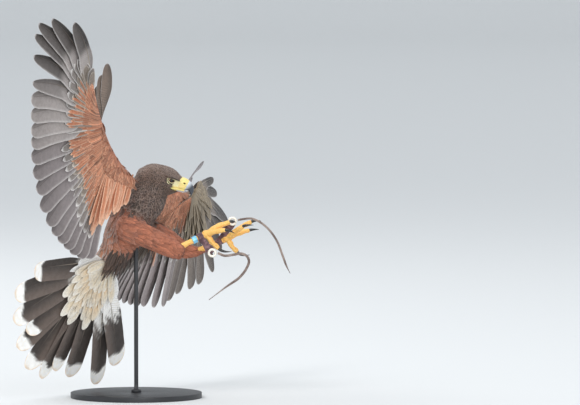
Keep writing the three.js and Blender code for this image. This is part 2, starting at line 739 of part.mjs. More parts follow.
const LEGS = {
  R: {
    heel: v(72, -48, 284),
    sole: v(133, -30, 313),
    thigh: [
      { at: v(-26, -28, 326), wide: 24, deep: 27 },
      { at: v(-4, -31, 319), wide: 24, deep: 26 },
      { at: v(32, -38, 304), wide: 21, deep: 23 },
      { at: v(64, -44, 289), wide: 17, deep: 21 },
      { at: v(84, -48, 279), wide: 13, deep: 17 },
    ],
    toes: [
      { end: v(178, -44, 337), claw: 16, curl: v(0.3, 0.75, -0.5) },
      { end: v(170, -55, 322), claw: 16, curl: v(0.75, 0.2, -0.6) },
      { end: v(165, -2, 331), claw: 15, curl: v(0.6, 0.2, -0.75) },
      { end: v(157, -36, 286), claw: 22, curl: v(1, 0, 0.25) },
    ],
  },
  L: {
    heel: v(112, 30, 276),
    sole: v(172, 8, 303),
    thigh: [
      { at: v(-4, 40, 326), wide: 24, deep: 27 },
      { at: v(26, 38, 314), wide: 24, deep: 26 },
      { at: v(55, 36, 299), wide: 20, deep: 24 },
      { at: v(83, 34, 282), wide: 16, deep: 20 },
      { at: v(110, 31, 276), wide: 11, deep: 13 },
      { at: v(131, 26, 281), wide: 7, deep: 7 },
    ],
    toes: [
      { end: v(219, -4, 335), claw: 15, curl: v(0.95, 0, -0.3) },
      { end: v(203, -24, 327), claw: 18, curl: v(1, 0, -0.15) },
      { end: v(214, 26, 317), claw: 15, curl: v(1, 0, -0.1) },
      { end: v(192, 4, 277), claw: 22, curl: v(1, 0, 0.3) },
    ],
  },
};

const thighSolid = (leg, grow = 0) => flesh(leg.thigh, { side: v(0, 1, 0), rings: 5, around: 12, grow });

const tarsusSolid = (leg, grow = 0) =>
  flesh(
    [
      { at: mix(leg.heel, leg.sole, -0.05), wide: TARSUS_RADIUS + 1, deep: TARSUS_RADIUS + 2 },
      { at: mix(leg.heel, leg.sole, 0.2), wide: TARSUS_RADIUS, deep: TARSUS_RADIUS },
      { at: mix(leg.heel, leg.sole, 0.8), wide: TARSUS_RADIUS, deep: TARSUS_RADIUS },
      { at: mix(leg.heel, leg.sole, 0.92), wide: TARSUS_RADIUS, deep: TARSUS_RADIUS },
    ],
    { side: v(0, 1, 0), rings: 3, around: 10, grow, flat: true },
  );

function footSolid(leg, grow = 0) {
  const pieces = [ball(leg.sole, 8 + grow, 8, 6)];
  for (const toe of leg.toes) {
    const stations = [0, 0.35, 0.55, 0.8, 1].map((t, i) => ({
      at: mix(leg.sole, toe.end, t),
      wide: [6.5, 4.4, 5, 4, 3.1][i],
      deep: [6.5, 4.4, 5, 4, 3.2][i],
    }));
    pieces.push(flesh(stations, { side: v(0, 1, 0), rings: 4, around: 6, grow, ends: [0.5] }));
  }
  return join(pieces);
}

// A curved cone: it leaves the toe along its line and turns towards curl.
function clawSolid(leg, toe) {
  const ahead = toe.end.clone().sub(leg.sole).normalize();
  const stations = [0, 0.35, 0.7, 1].map((t, i) => ({
    at: toe.end.clone()
      .addScaledVector(ahead, 1 + toe.claw * (t - 0.45 * t * t))
      .addScaledVector(toe.curl, toe.claw * 0.62 * t * t),
    wide: [2.6, 2.2, 1.4, 0.35][i],
    deep: [3.1, 2.6, 1.6, 0.35][i],
  }));
  return flesh(stations, { side: v(0, 1, 0), rings: 3, around: 6, flat: true });
}

function makeLeg(side, leg) {
  const other = side === "R" ? LEGS.L : LEGS.R;
  const thigh = thighSolid(leg).subtract(torsoSolid(GAP));
  show(`thigh_${side}`, side === "L" ? thigh.subtract(thighSolid(other, GAP)) : thigh, "rufous_feathers");
  show(`tarsus_${side}`, tarsusSolid(leg).subtract(thighSolid(leg, GAP)).subtract(footSolid(leg, GAP)), "yellow_skin");
  show(`foot_${side}`, footSolid(leg), "yellow_skin");
  leg.toes.forEach((toe, i) =>
    show(`claw_${side}_${i + 1}`, clawSolid(leg, toe).subtract(footSolid(leg, GAP)), "claw"),
  );
}

// What it wears: a cuff with an eyelet on each leg, a strap from each eyelet, and one leg ring. The
// cuff and the ring lie between two shares of the way from heel to sole.

const GEAR = {
  R: { cuff: [0.74, 0.9], eyelet: v(145.5, -58, 279), strap: [[156, -60, 279], [169, -62, 274], [186, -64, 276],
    [201, -64, 278], [211, -62, 273], [215, -58, 263], [210, -54, 249], [197, -50, 232], [172, -46, 214],
    [139, -42, 189]] },
  L: { cuff: [0.68, 0.87], eyelet: v(183.5, -20, 337), strap: [[193.5, -20, 339], [204, -20, 341],
    [219, -19, 342], [234, -16, 336], [252, -10, 321], [268, -4, 298], [278, 2, 272], [286, 6, 250],
    [293, 8, 236]] },
};
const LEG_RING = [0.58, 0.71];
const EYELET_RADIUS = 6.4;
const EYELET_SECTION = 2.4;
const STRAP_RADIUS = 1.6;
const STRAP_STEPS = 16;

// A sleeve round the tarsus between two shares of the way from heel to sole.
function sleeve(leg, [start, end], inner, outer) {
  const from = mix(leg.heel, leg.sole, start);
  const to = mix(leg.heel, leg.sole, end);
  const over = to.clone().sub(from).multiplyScalar(0.3);
  return bar(from, to, outer).subtract(bar(from.clone().sub(over), to.clone().add(over), inner));
}

function makeGear(side, leg) {
  const { cuff, eyelet, strap } = GEAR[side];
  const middle = mix(leg.heel, leg.sole, (cuff[0] + cuff[1]) / 2);
  const tab = flesh(
    [
      { at: middle, wide: 6, deep: 1.6 },
      { at: mix(middle, eyelet, 0.5), wide: 5.5, deep: 1.6 },
      { at: mix(middle, eyelet, 0.9), wide: 8.5, deep: 1.4 },
    ],
    { side: eyelet.clone().sub(middle).cross(v(0, 1, 0)).normalize(), rings: 3, around: 6 },
  );
  const rim = EYELET_RADIUS + EYELET_SECTION + GAP;
  const clear = join([
    bar(mix(leg.heel, leg.sole, 0.5), leg.sole, TARSUS_RADIUS + 2 * GAP, TARSUS_RADIUS + 2 * GAP, 10),
    bar(eyelet.clone().add(v(0, -12, 0)), eyelet.clone().add(v(0, 12, 0)), rim, rim, 14),
    footSolid(leg, GAP),
  ]);
  const band = sleeve(leg, cuff, TARSUS_RADIUS + 2 * GAP, TARSUS_RADIUS + 2.4);
  show(`cuff_${side}`, join([band, tab]).subtract(clear), "leather");
  show(`eyelet_${side}`, hoop(eyelet, v(0, 1, 0), EYELET_RADIUS, EYELET_SECTION, 16, 4), "nickel");
  const route = new THREE.CatmullRomCurve3(strap.map((p) => v(...p)));
  const around = [0, 1, 2, 3, 4, 5].map((k) => {
    const angle = (k * Math.PI) / 3;
    return new THREE.Vector2(STRAP_RADIUS * Math.cos(angle), STRAP_RADIUS * Math.sin(angle));
  });
  const options = { steps: STRAP_STEPS, extrudePath: route, bevelEnabled: false };
  const line = solidOf(new THREE.ExtrudeGeometry(new THREE.Shape(around), options));
  show(`strap_${side}`, line, "leather");
}

// Display stand

function makeStand(rodTop) {
  const base = solidOf(new THREE.CylinderGeometry(BASE_RADIUS, BASE_RADIUS, BASE_THICKNESS, 40)
    .rotateX(Math.PI / 2).translate(0, 0, BASE_THICKNESS / 2));
  show("stand_base", base, "stand_black");
  show("stand_rod", bar(v(0, 0, BASE_THICKNESS + GAP), v(0, 0, rodTop), ROD_RADIUS, ROD_RADIUS, 16), "stand_black");
}

const ROD_TOP = 290 + ROD_SUNK;
makeHead();
const rodRoom = bar(v(0, 0, BASE_THICKNESS), v(0, 0, ROD_TOP + GAP), ROD_RADIUS + GAP, ROD_RADIUS + GAP, 16);
show("torso", torsoSolid(0).subtract(rodRoom), "brown_feathers");
for (const [side, wing] of Object.entries(WINGS)) makeWing(side, wing);
makeTail();
for (const [side, leg] of Object.entries(LEGS)) makeLeg(side, leg);
for (const [side, leg] of Object.entries(LEGS)) makeGear(side, leg);
show("leg_ring_R", sleeve(LEGS.R, LEG_RING, TARSUS_RADIUS + 2 * GAP, TARSUS_RADIUS + 2.4), "blue_ring");
makeStand(ROD_TOP);

export default hawk;
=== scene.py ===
# A life-size Harris's hawk braking to land, on a plain display stand, in the photograph's view.
import json
import math

import bpy
import numpy as np
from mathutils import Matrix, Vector
from mathutils.bvhtree import BVHTree
from mathutils.kdtree import KDTree

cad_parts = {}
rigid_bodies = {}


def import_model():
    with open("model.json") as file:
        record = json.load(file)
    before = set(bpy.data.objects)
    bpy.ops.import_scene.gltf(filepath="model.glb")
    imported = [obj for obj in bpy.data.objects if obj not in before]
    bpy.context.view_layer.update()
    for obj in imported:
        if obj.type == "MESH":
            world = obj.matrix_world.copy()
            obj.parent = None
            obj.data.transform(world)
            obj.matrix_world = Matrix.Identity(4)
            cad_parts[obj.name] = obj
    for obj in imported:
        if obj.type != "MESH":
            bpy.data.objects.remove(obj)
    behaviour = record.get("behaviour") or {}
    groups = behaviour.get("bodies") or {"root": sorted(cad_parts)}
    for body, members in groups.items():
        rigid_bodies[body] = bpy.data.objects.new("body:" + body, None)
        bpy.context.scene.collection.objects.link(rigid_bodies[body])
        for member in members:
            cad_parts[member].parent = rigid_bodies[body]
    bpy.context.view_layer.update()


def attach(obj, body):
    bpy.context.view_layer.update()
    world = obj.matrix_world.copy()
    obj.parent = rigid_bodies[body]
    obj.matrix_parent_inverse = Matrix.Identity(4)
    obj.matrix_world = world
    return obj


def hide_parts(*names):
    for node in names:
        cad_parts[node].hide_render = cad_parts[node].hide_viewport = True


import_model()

# The camera stands level with the bird, a little above it, far off with a long lens, as the photograph
# was taken: one pixel of its 580 by 405 is 1.9 mm at the bird.
IMAGE_SIZE = (580, 405)
METRES_PER_PIXEL = 0.0019
CAMERA_DISTANCE = 12.0
CAMERA_ELEVATION = math.radians(3)
VIEW_CENTRE = Vector((0.2926, 0, 0.37145))
MM = 0.001  # shapes are worked out in millimetres, and Blender takes metres

scene = bpy.context.scene
camera_data = bpy.data.cameras.new("camera")
camera_data.sensor_width = 36
camera_data.lens = camera_data.sensor_width * CAMERA_DISTANCE / (IMAGE_SIZE[0] * METRES_PER_PIXEL)
camera_data.clip_end = 80
camera = bpy.data.objects.new("camera", camera_data)
looking = Vector((0, math.cos(CAMERA_ELEVATION), -math.sin(CAMERA_ELEVATION)))
camera.location = VIEW_CENTRE - looking * CAMERA_DISTANCE
camera.rotation_euler = looking.to_track_quat("-Z", "Y").to_euler()
scene.collection.objects.link(camera)
scene.camera = camera
scene.view_settings.view_transform = "Standard"


# Straps: flat strips of soft grey-brown leather that start at the eyelets and hang free in the curves that
# the photograph shows, each cut to a point at its end.
STRAPS = {
    "R": {
        "route": [(156, -60, 279), (169, -62, 274), (186, -64, 276), (201, -64, 278), (211, -62, 273),
                  (215, -58, 263), (210, -54, 249), (197, -50, 232), (172, -46, 214), (139, -42, 189)],
        "width": 5.0,
    },
    "L": {
        "route": [(193.5, -20, 339), (204, -20, 341), (219, -19, 342), (234, -16, 336), (252, -10, 321),
                  (268, -4, 298), (278, 2, 272), (286, 6, 250), (293, 8, 236)],
        "width": 4.2,
    },
}
STRAP_THICKNESS = 1.7
STRAP_POINT = 0.8  # the share of its length where a strap starts to narrow to its point
STRAP_END = 0.22  # the share of its width that is left at the end
STRAP_FACE = (0, 1, 0.25)  # the way its flat side looks
STRAP_ROWS, STRAP_SIDES = 90, 14


def unit(vectors):
    """Vectors divided by their own lengths."""
    vectors = np.asarray(vectors, float)
    return vectors / np.maximum(np.linalg.norm(vectors, axis=-1, keepdims=True), 1e-12)


def curve(stations, shares):
    """Points of a centripetal Catmull-Rom curve through the stations, at shares of its run from 0 to 1."""
    stations = np.asarray(stations, float)
    ends = (2 * stations[:1] - stations[1:2], 2 * stations[-1:] - stations[-2:-1])
    knots = np.concatenate([ends[0], stations, ends[1]])
    place = np.clip(np.asarray(shares, float), 0, 1) * (len(stations) - 1)
    first = np.minimum(place.astype(int), len(stations) - 2)
    share = (place - first)[:, None]
    a, b, c, d = (knots[first + k] for k in range(4))
    ab, bc, cd = (np.linalg.norm(q - p, axis=1, keepdims=True) ** 0.5 for p, q in ((a, b), (b, c), (c, d)))
    leaving = ((b - a) / ab - (c - a) / (ab + bc) + (c - b) / bc) * bc
    arriving = ((c - b) / bc - (d - b) / (bc + cd) + (d - c) / cd) * bc
    square = -3 * b + 3 * c - 2 * leaving - arriving
    cube = 2 * b - 2 * c + leaving + arriving
    return b + share * (leaving + share * (square + share * cube))


def value_along(values, shares):
    """Smooth numbers between evenly spaced values, at shares of the whole run."""
    return curve(np.stack([np.arange(len(values)), values], 1), shares)[:, 1]


def ease(start, end, x):
    """A smooth step that rises from 0 at start to 1 at end."""
    s = np.clip((np.asarray(x, float) - start) / (end - start), 0, 1)
    return s * s * (3 - 2 * s)


def blend(a, b, share):
    """The value that lies at that share of the way from a to b."""
    return a + (b - a) * share


def turns(count):
    """Angles of so many even steps round a circle."""
    return np.linspace(0, 2 * math.pi, count, endpoint=False)


def rings(centre, side, wide, deep, around, power=1.0):
    """Closed sections carried along a line of points: an ellipse of half sizes wide along side and deep
    across it, squared off where power is under 1."""
    centre = np.asarray(centre, float)
    tangent = unit(np.gradient(centre, axis=0))
    across = unit(side - tangent * np.sum(side * tangent, axis=-1, keepdims=True))
    upward = np.cross(tangent, across)
    angle = turns(around)
    x, y = (np.sign(f) * np.abs(f) ** power for f in (np.cos(angle), np.sin(angle)))
    wide, deep = (np.broadcast_to(np.asarray(w, float), len(centre))[:, None, None] for w in (wide, deep))
    return (centre[:, None] + across[:, None] * wide * x[None, :, None]
            + upward[:, None] * deep * y[None, :, None])


def tube_faces(rows, around):
    """Quads between neighbouring rings, and a flat face on each end."""
    row, column = np.meshgrid(np.arange(rows - 1), np.arange(around), indexing="ij")
    here = row * around + column
    beside = row * around + (column + 1) % around
    quads = np.stack([here, beside, beside + around, here + around], -1).reshape(-1, 4)
    start = np.arange(around)[None, ::-1]
    end = (rows - 1) * around + np.arange(around)[None]
    return [quads, start, end]


def signed_volume(points, faces):
    """Six times the volume that the faces enclose, negative where they are inside out."""
    total = 0.0
    for group in faces:
        corner = points[group]
        for k in range(1, group.shape[1] - 1):
            total += np.sum(corner[:, 0] * np.cross(corner[:, k], corner[:, k + 1]))
    return total


def store_tint(mesh, tint):
    """Colours at the points of a mesh, which its material reads as the tint."""
    colour = np.ones((len(mesh.vertices), 4), np.float32)
    colour[:, :3] = np.asarray(tint).reshape(-1, 3)
    mesh.attributes.new("tint", "FLOAT_COLOR", "POINT").data.foreach_set("color", colour.ravel())


def make_piece(name, points, faces, material, stands_for=(), maps=None, tint=None, place=None):
    """A mesh piece from points in millimetres, with its UV maps and its values at each point."""
    points = np.asarray(points, float).reshape(-1, 3)
    if signed_volume(points, faces) < 0:
        faces = [group[:, ::-1] for group in faces]
    corners = np.concatenate([group.ravel() for group in faces]).astype(np.int32)
    sides = np.concatenate([np.full(len(group), group.shape[1]) for group in faces]).astype(np.int32)
    mesh = bpy.data.meshes.new(name)
    mesh.vertices.add(len(points))
    mesh.vertices.foreach_set("co", (points * MM).astype(np.float32).ravel())
    mesh.loops.add(len(corners))
    mesh.loops.foreach_set("vertex_index", corners)
    mesh.polygons.add(len(sides))
    mesh.polygons.foreach_set("loop_start", np.concatenate([[0], np.cumsum(sides)[:-1]]).astype(np.int32))
    mesh.polygons.foreach_set("use_smooth", np.ones(len(sides), bool))
    for label, uv in (maps or {}).items():
        layer = mesh.uv_layers.new(name=label)
        layer.data.foreach_set("uv", np.asarray(uv, np.float32).reshape(-1, 2)[corners].ravel())
    if tint is not None:
        store_tint(mesh, tint)
    if place is not None:
        values = np.asarray(place, np.float32).ravel()
        mesh.attributes.new("place", "FLOAT_VECTOR", "POINT").data.foreach_set("vector", values)
    mesh.update(calc_edges=True)
    mesh.materials.append(material)
    piece = bpy.data.objects.new(name, mesh)
    scene.collection.objects.link(piece)
    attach(piece, "root")
    if stands_for:
        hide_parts(*stands_for)
    return piece


def tube_piece(name, tube, material, stands_for=(), tint=None, place=None):
    """A piece whose surface is one closed tube."""
    return make_piece(name, tube, tube_faces(*tube.shape[:2]), material, stands_for, None, tint, place)


class Wire:
    """A value inside a material, so that a pattern can be written as a sum."""

    def __init__(self, finish, socket):
        self.finish = finish
        self.socket = socket

    def output(self, label):
        """Another output of the same node."""
        return Wire(self.finish, self.socket.node.outputs[label])

    def sum(self, operation, first, second=0.0):
        """What a Math node makes of one or two values."""
        return self.finish.node("Math", {"operation": operation}, {0: first, 1: second})

    def __add__(self, other):
        return self.sum("ADD", self, other)

    def __sub__(self, other):
        return self.sum("SUBTRACT", self, other)

    def __rsub__(self, other):
        return self.sum("SUBTRACT", other, self)

    def __mul__(self, other):
        return self.sum("MULTIPLY", self, other)


class Finish:
    """One material: a Principled surface, and the nodes that feed it."""

    def __init__(self, name, **fixed):
        self.material = bpy.data.materials.new(name)
        self.material.use_nodes = True
        self.tree = self.material.node_tree
        self.surface = self.tree.nodes["Principled BSDF"]
        self.fill(self.surface, {label.replace("_", " "): value for label, value in fixed.items()})

    def fill(self, node, sockets):
        """Gives sockets their links or values."""
        for label, value in sockets.items():
            if isinstance(value, Wire):
                self.tree.links.new(value.socket, node.inputs[label])
            else:
                node.inputs[label].default_value = value

    def node(self, kind, settings, sockets, output=0):
        """A node of any kind: its settings first, then the values or links of its sockets."""
        made = self.tree.nodes.new("ShaderNode" + kind)
        for label, value in settings.items():
            setattr(made, label, value)
        self.fill(made, sockets)
        return Wire(self, made.outputs[output])

    def wear(self, **sockets):
        """Feeds sockets of the surface, and gives the finished material."""
        self.fill(self.surface, {label.replace("_", " "): value for label, value in sockets.items()})
        return self.material

    def objects(self):
        """Places in the object's own metres."""
        return self.node("TexCoord", {}, {}, "Object")

    def stored(self, name, output="Vector"):
        """Values stored at the points of the mesh."""
        return self.node("Attribute", {"attribute_name": name}, {}, output)

    def split(self, vector):
        """The first of three parts; the others are outputs Y and Z of the same node."""
        return self.node("SeparateXYZ", {}, {0: vector}, "X")

    def toned(self, tone):
        """The tint stored at the points, lighter or darker by a tone."""
        grey = self.node("CombineColor", {}, {0: tone, 1: tone, 2: tone})
        return self.mix(1.0, self.stored("tint", "Color"), grey, "MULTIPLY")

    def noise(self, scale, detail=3, at=None):
        return self.node("TexNoise", {}, {"Vector": at or self.objects(), "Scale": scale, "Detail": detail,
                                          "Roughness": 0.55})

    def cells(self, scale):
        """Distances to the edges of even round cells."""
        return self.node("TexVoronoi", {"feature": "DISTANCE_TO_EDGE"},
                         {"Vector": self.objects(), "Scale": scale}, "Distance")

    def mix(self, share, first, second, kind="MIX"):
        return self.node("Mix", {"data_type": "RGBA", "blend_type": kind},
                         {0: share, 6: first, 7: second}, 2)

    def step(self, value, low, high, start=0.0, end=1.0):
        """A smooth step of a value from start, where it is under low, to end, where it is over high."""
        return self.node("MapRange", {"interpolation_type": "SMOOTHSTEP"},
                         {0: value, 1: low, 2: high, 3: start, 4: end})

    def bump(self, height, strength, distance):
        return self.node("Bump", {}, {"Height": height, "Strength": strength, "Distance": distance})


def shade(code):
    """A colour written as six hexadecimal digits, as the linear numbers that a shader takes."""
    parts = np.array([int(code[k:k + 2], 16) for k in (0, 2, 4)]) / 255
    return np.where(parts <= 0.04045, parts / 12.92, ((parts + 0.055) / 1.055) ** 2.4)


def ink(code):
    """The same with an alpha of one."""
    return (*shade(code), 1)


leather = Finish("strap_leather", Roughness=0.62)
grain = leather.noise(900, 4)
wear_marks = leather.noise(60, 3)
leather_colour = leather.mix(leather.step(wear_marks, 0.35, 0.7), ink("65554e"), ink("9b8a80"))
leather.wear(
    Base_Color=leather.mix(leather.step(grain, 0.4, 0.9, 0.0, 0.5), leather_colour, ink("9a8b82")),
    Roughness=leather.step(wear_marks, 0.3, 0.7, 0.7, 0.5),
    Normal=leather.bump(grain, 0.2, 0.0002),
)

for side, strap in STRAPS.items():
    share = np.linspace(0, 1, STRAP_ROWS)
    route = curve(strap["route"], share)
    facing = np.cross(np.gradient(route, axis=0), STRAP_FACE)
    width = strap["width"] * blend(1, STRAP_END, ease(STRAP_POINT, 1, share))
    section = rings(route, facing, width / 2, STRAP_THICKNESS / 2, STRAP_SIDES, power=0.45)
    piece = tube_piece(f"strap_leather_{side}", section, leather.material, [f"strap_{side}"])
    strap_length = np.linalg.norm(np.diff(route, axis=0), axis=1).sum() * MM
    route[0] * MM
    (route * MM).tolist()


# Studio, in metres: a plain pale floor that turns up into a backdrop far behind the bird and the cameras of
# the other views, and soft light from large panels.
FLOOR_FRONT = -20
FLOOR_SIDES = (-40, 40)
BACKDROP_START = 26
BACKDROP_BEND = 6
BACKDROP_TOP = 16
bend = np.linspace(0, math.pi / 2, 14)
depth = np.concatenate([[FLOOR_FRONT], BACKDROP_START + BACKDROP_BEND * np.sin(bend),
                        [BACKDROP_START + BACKDROP_BEND]])
height = np.concatenate([[0], BACKDROP_BEND - BACKDROP_BEND * np.cos(bend), [BACKDROP_TOP]])
floor_mesh = bpy.data.meshes.new("floor")
floor_mesh.from_pydata([(x, y, z) for y, z in zip(depth, height) for x in FLOOR_SIDES], [],
                       [(2 * k, 2 * k + 1, 2 * k + 3, 2 * k + 2) for k in range(len(depth) - 1)])
floor_mesh.polygons.foreach_set("use_smooth", [True] * len(floor_mesh.polygons))
floor_mesh.materials.append(Finish("floor_paper", Roughness=0.9, Base_Color=ink("d9dbdb")).material)
floor = bpy.data.objects.new("floor", floor_mesh)
scene.collection.objects.link(floor)

LIGHTS = {
    "key": {"at": (-2.2, -4.2, 4.6), "size": 2.2, "power": 170},
    "fill": {"at": (1.6, -5.6, 0.7), "size": 3.4, "power": 95},
    "top": {"at": (0.6, 0.6, 5.0), "size": 3.0, "power": 30},
    "rim": {"at": (-3.2, 3.6, 2.6), "size": 2.0, "power": 60},
}
LIGHT_AIM = Vector((0.05, 0, 0.4))
for name, light in LIGHTS.items():
    lamp = bpy.data.lights.new(name, "AREA")
    lamp.energy = light["power"]
    lamp.size = light["size"]
    lamp_object = bpy.data.objects.new(name, lamp)
    lamp_object.location = light["at"]
    aim = LIGHT_AIM - lamp_object.location
    lamp_object.rotation_euler = aim.to_track_quat("-Z", "Y").to_euler()
    scene.collection.objects.link(lamp_object)
world = bpy.data.worlds.new("studio")
world.use_nodes = True
world.node_tree.nodes["Background"].inputs["Color"].default_value = ink("e9edf2")
world.node_tree.nodes["Background"].inputs["Strength"].default_value = 1.05
scene.world = world


# Plumage: every feather is a thin closed leaf, bowed and cambered, that narrows to a quill at its root.
# Many are worked out at once. Barbs are drawn on each from its own map, in metres from its shaft.
OUTLINES = {
    "finger": {"quill": (0.14, 0.06), "opens": (0.15, 0.42), "waist": (0.46, 0.6), "narrows": 0.84,
               "tip": 0.6},
    "broad": {"quill": (0.1, 0.06), "opens": (0.12, 0.46), "narrows": 0.86, "tip": 0.87},
    "rounded": {"quill": (0.1, 0.06), "opens": (0.06, 0.5), "narrows": 0.95, "tip": 0.86},
    "covert": {"quill": (0.3, 0.3), "opens": (0.0, 0.4), "narrows": 0.95, "tip": 0.66},
    "lens": {"quill": (0.14, 0.1), "opens": (0.05, 0.55), "narrows": 0.9, "tip": 0.66},
    "strap": {"quill": (0.42, 0.42), "opens": (0.5, 0.86), "narrows": 0.92, "tip": 0.7},
    "shield": {"quill": (0.5, 0.4), "opens": (0.0, 0.35), "narrows": 0.98, "tip": 0.8},
    "lancet": {"quill": (0.4, 0.4), "opens": (0.0, 0.35), "narrows": 0.6, "tip": 0.55},
}
WAIST = (0.5, 0.96)
TIP_ROUNDNESS = 2.3
ROWS_TOWARDS_TIP = 1.35  # how much closer together the rows of a leaf are at its tip
THIN_AT_TIP = 0.5
THIN_AT_RIM = 0.75
BAKE_PATCH = 0.003  # the side of a small feather's patch in the map that is baked
rng = np.random.default_rng(7)


def outline(kind, t):
    """Shares of the full width before and behind the shaft: they open from a quill, narrow over the waist,
    and close in a rounded tip."""
    form = OUTLINES[kind]
    body = blend(1, form["narrows"], ease(*form.get("waist", WAIST), t))
    past = np.clip((t - form["tip"]) / (1 - form["tip"]), 0, 1)
    tip = np.sqrt(np.maximum(1 - past ** TIP_ROUNDNESS, 0.0006))
    open_share = ease(*form["opens"], t)
    return [blend(quill, 1, open_share) * body * tip for quill in form["quill"]]


def leaves(root, reach, bend, lie, up, lead, trail, kind, rows, columns, hand=1, roll=0, thick=0.5,
           camber=0.12, ragged=0.0, skin_at=None):
    """Feathers with the shaft root + reach t + bend t t, for t from 0 to 1. At each t a section runs
    across it, tilted by roll, and curves down on both sides by camber times its width squared."""
    count = len(root)
    t = 1 - (1 - np.linspace(0, 1, rows)) ** ROWS_TOWARDS_TIP
    u = np.sin(np.linspace(-1, 1, columns) * math.pi / 2)
    up = unit(up - lie * np.sum(up * lie, axis=1, keepdims=True))
    across = np.cross(up, lie)
    turn = np.radians(np.broadcast_to(np.asarray(roll, float), count))[:, None]
    hands = np.broadcast_to(np.asarray(hand, float), count)[:, None]
    side = across * np.cos(turn) - hands * up * np.sin(turn)
    face = up * np.cos(turn) + hands * across * np.sin(turn)
    before, behind = outline(kind, t)
    lead, trail = (np.broadcast_to(np.asarray(w, float), count)[:, None] for w in (lead, trail))
    before, behind = lead * before, trail * behind
    fray = 1 + ragged * (rng.random((count, rows)) - 0.5)
    left = np.where(hands > 0, before, behind) * fray
    right = np.where(hands > 0, behind, before) * np.flip(fray, axis=1)
    out = np.where(u < 0, left[:, :, None] * u, right[:, :, None] * u)
    width = (lead + trail)[:, :, None]
    sag = -camber * out ** 2 / width * 2
    half = thick / 2 * blend(1, THIN_AT_TIP, t)[None, :, None] * (1 - THIN_AT_RIM * np.abs(u) ** 3)
    out = np.concatenate([out, out[:, :, ::-1]], axis=2)
    high = np.concatenate([sag + half, (sag - half)[:, :, ::-1]], axis=2)
    shaft = root[:, None] + reach[:, None] * t[None, :, None] + bend[:, None] * t[None, :, None] ** 2
    points = (shaft[:, :, None] + side[:, None, None] * out[..., None]
              + face[:, None, None] * high[..., None])
    across_share = np.concatenate([u, u[::-1]])[None, None] * hands[:, :, None]
    shape = out.shape
    place = np.stack([np.broadcast_to(t[None, :, None], shape), np.broadcast_to(across_share, shape),
                      np.broadcast_to(rng.random(count)[:, None, None], shape)], -1)
    length = np.linalg.norm(reach + bend, axis=1)[:, None, None]
    barbs = np.stack([out * MM, place[..., 0] * length * MM], -1)
    around = 2 * columns
    quads, start, end = tube_faces(rows, around)
    lid = np.stack([np.arange(columns - 1), np.arange(1, columns),
                    around - 2 - np.arange(columns - 1), around - 1 - np.arange(columns - 1)], 1)
    one = np.concatenate([quads, lid[:, ::-1], lid + (rows - 1) * around])
    faces = (one[None] + (np.arange(count) * rows * around)[:, None, None]).reshape(-1, 4)
    made = {"points": points, "faces": [faces], "place": place, "barbs": barbs}
    if skin_at is not None:
        patch = (place[..., :2] * (1, 0.5) + (0, -0.25)) * BAKE_PATCH / 2
        made["bake"] = np.asarray(skin_at)[:, None, None] + patch
    return made


def together(parts):
    """Several sets of leaves as one, with their faces renumbered."""
    joined = {}
    for label in parts[0]:
        if label != "faces":
            width = parts[0][label].shape[-1]
            joined[label] = np.concatenate([p[label].reshape(-1, width) for p in parts])
    starts = np.cumsum([0] + [p["points"].size // 3 for p in parts[:-1]])
    joined["faces"] = [np.concatenate([p["faces"][0] + start for p, start in zip(parts, starts)])]
    return joined


def leaf_piece(name, made, material, tint, stands_for=(), bake=None):
    """A set of leaves as a piece, with its baking map and the map of its barbs."""
    maps = {"OFBake": made["bake"] if bake is None else bake, "barbs": made["barbs"]}
    return make_piece(name, made["points"], made["faces"], material, stands_for, maps, tint,
                      made["place"])


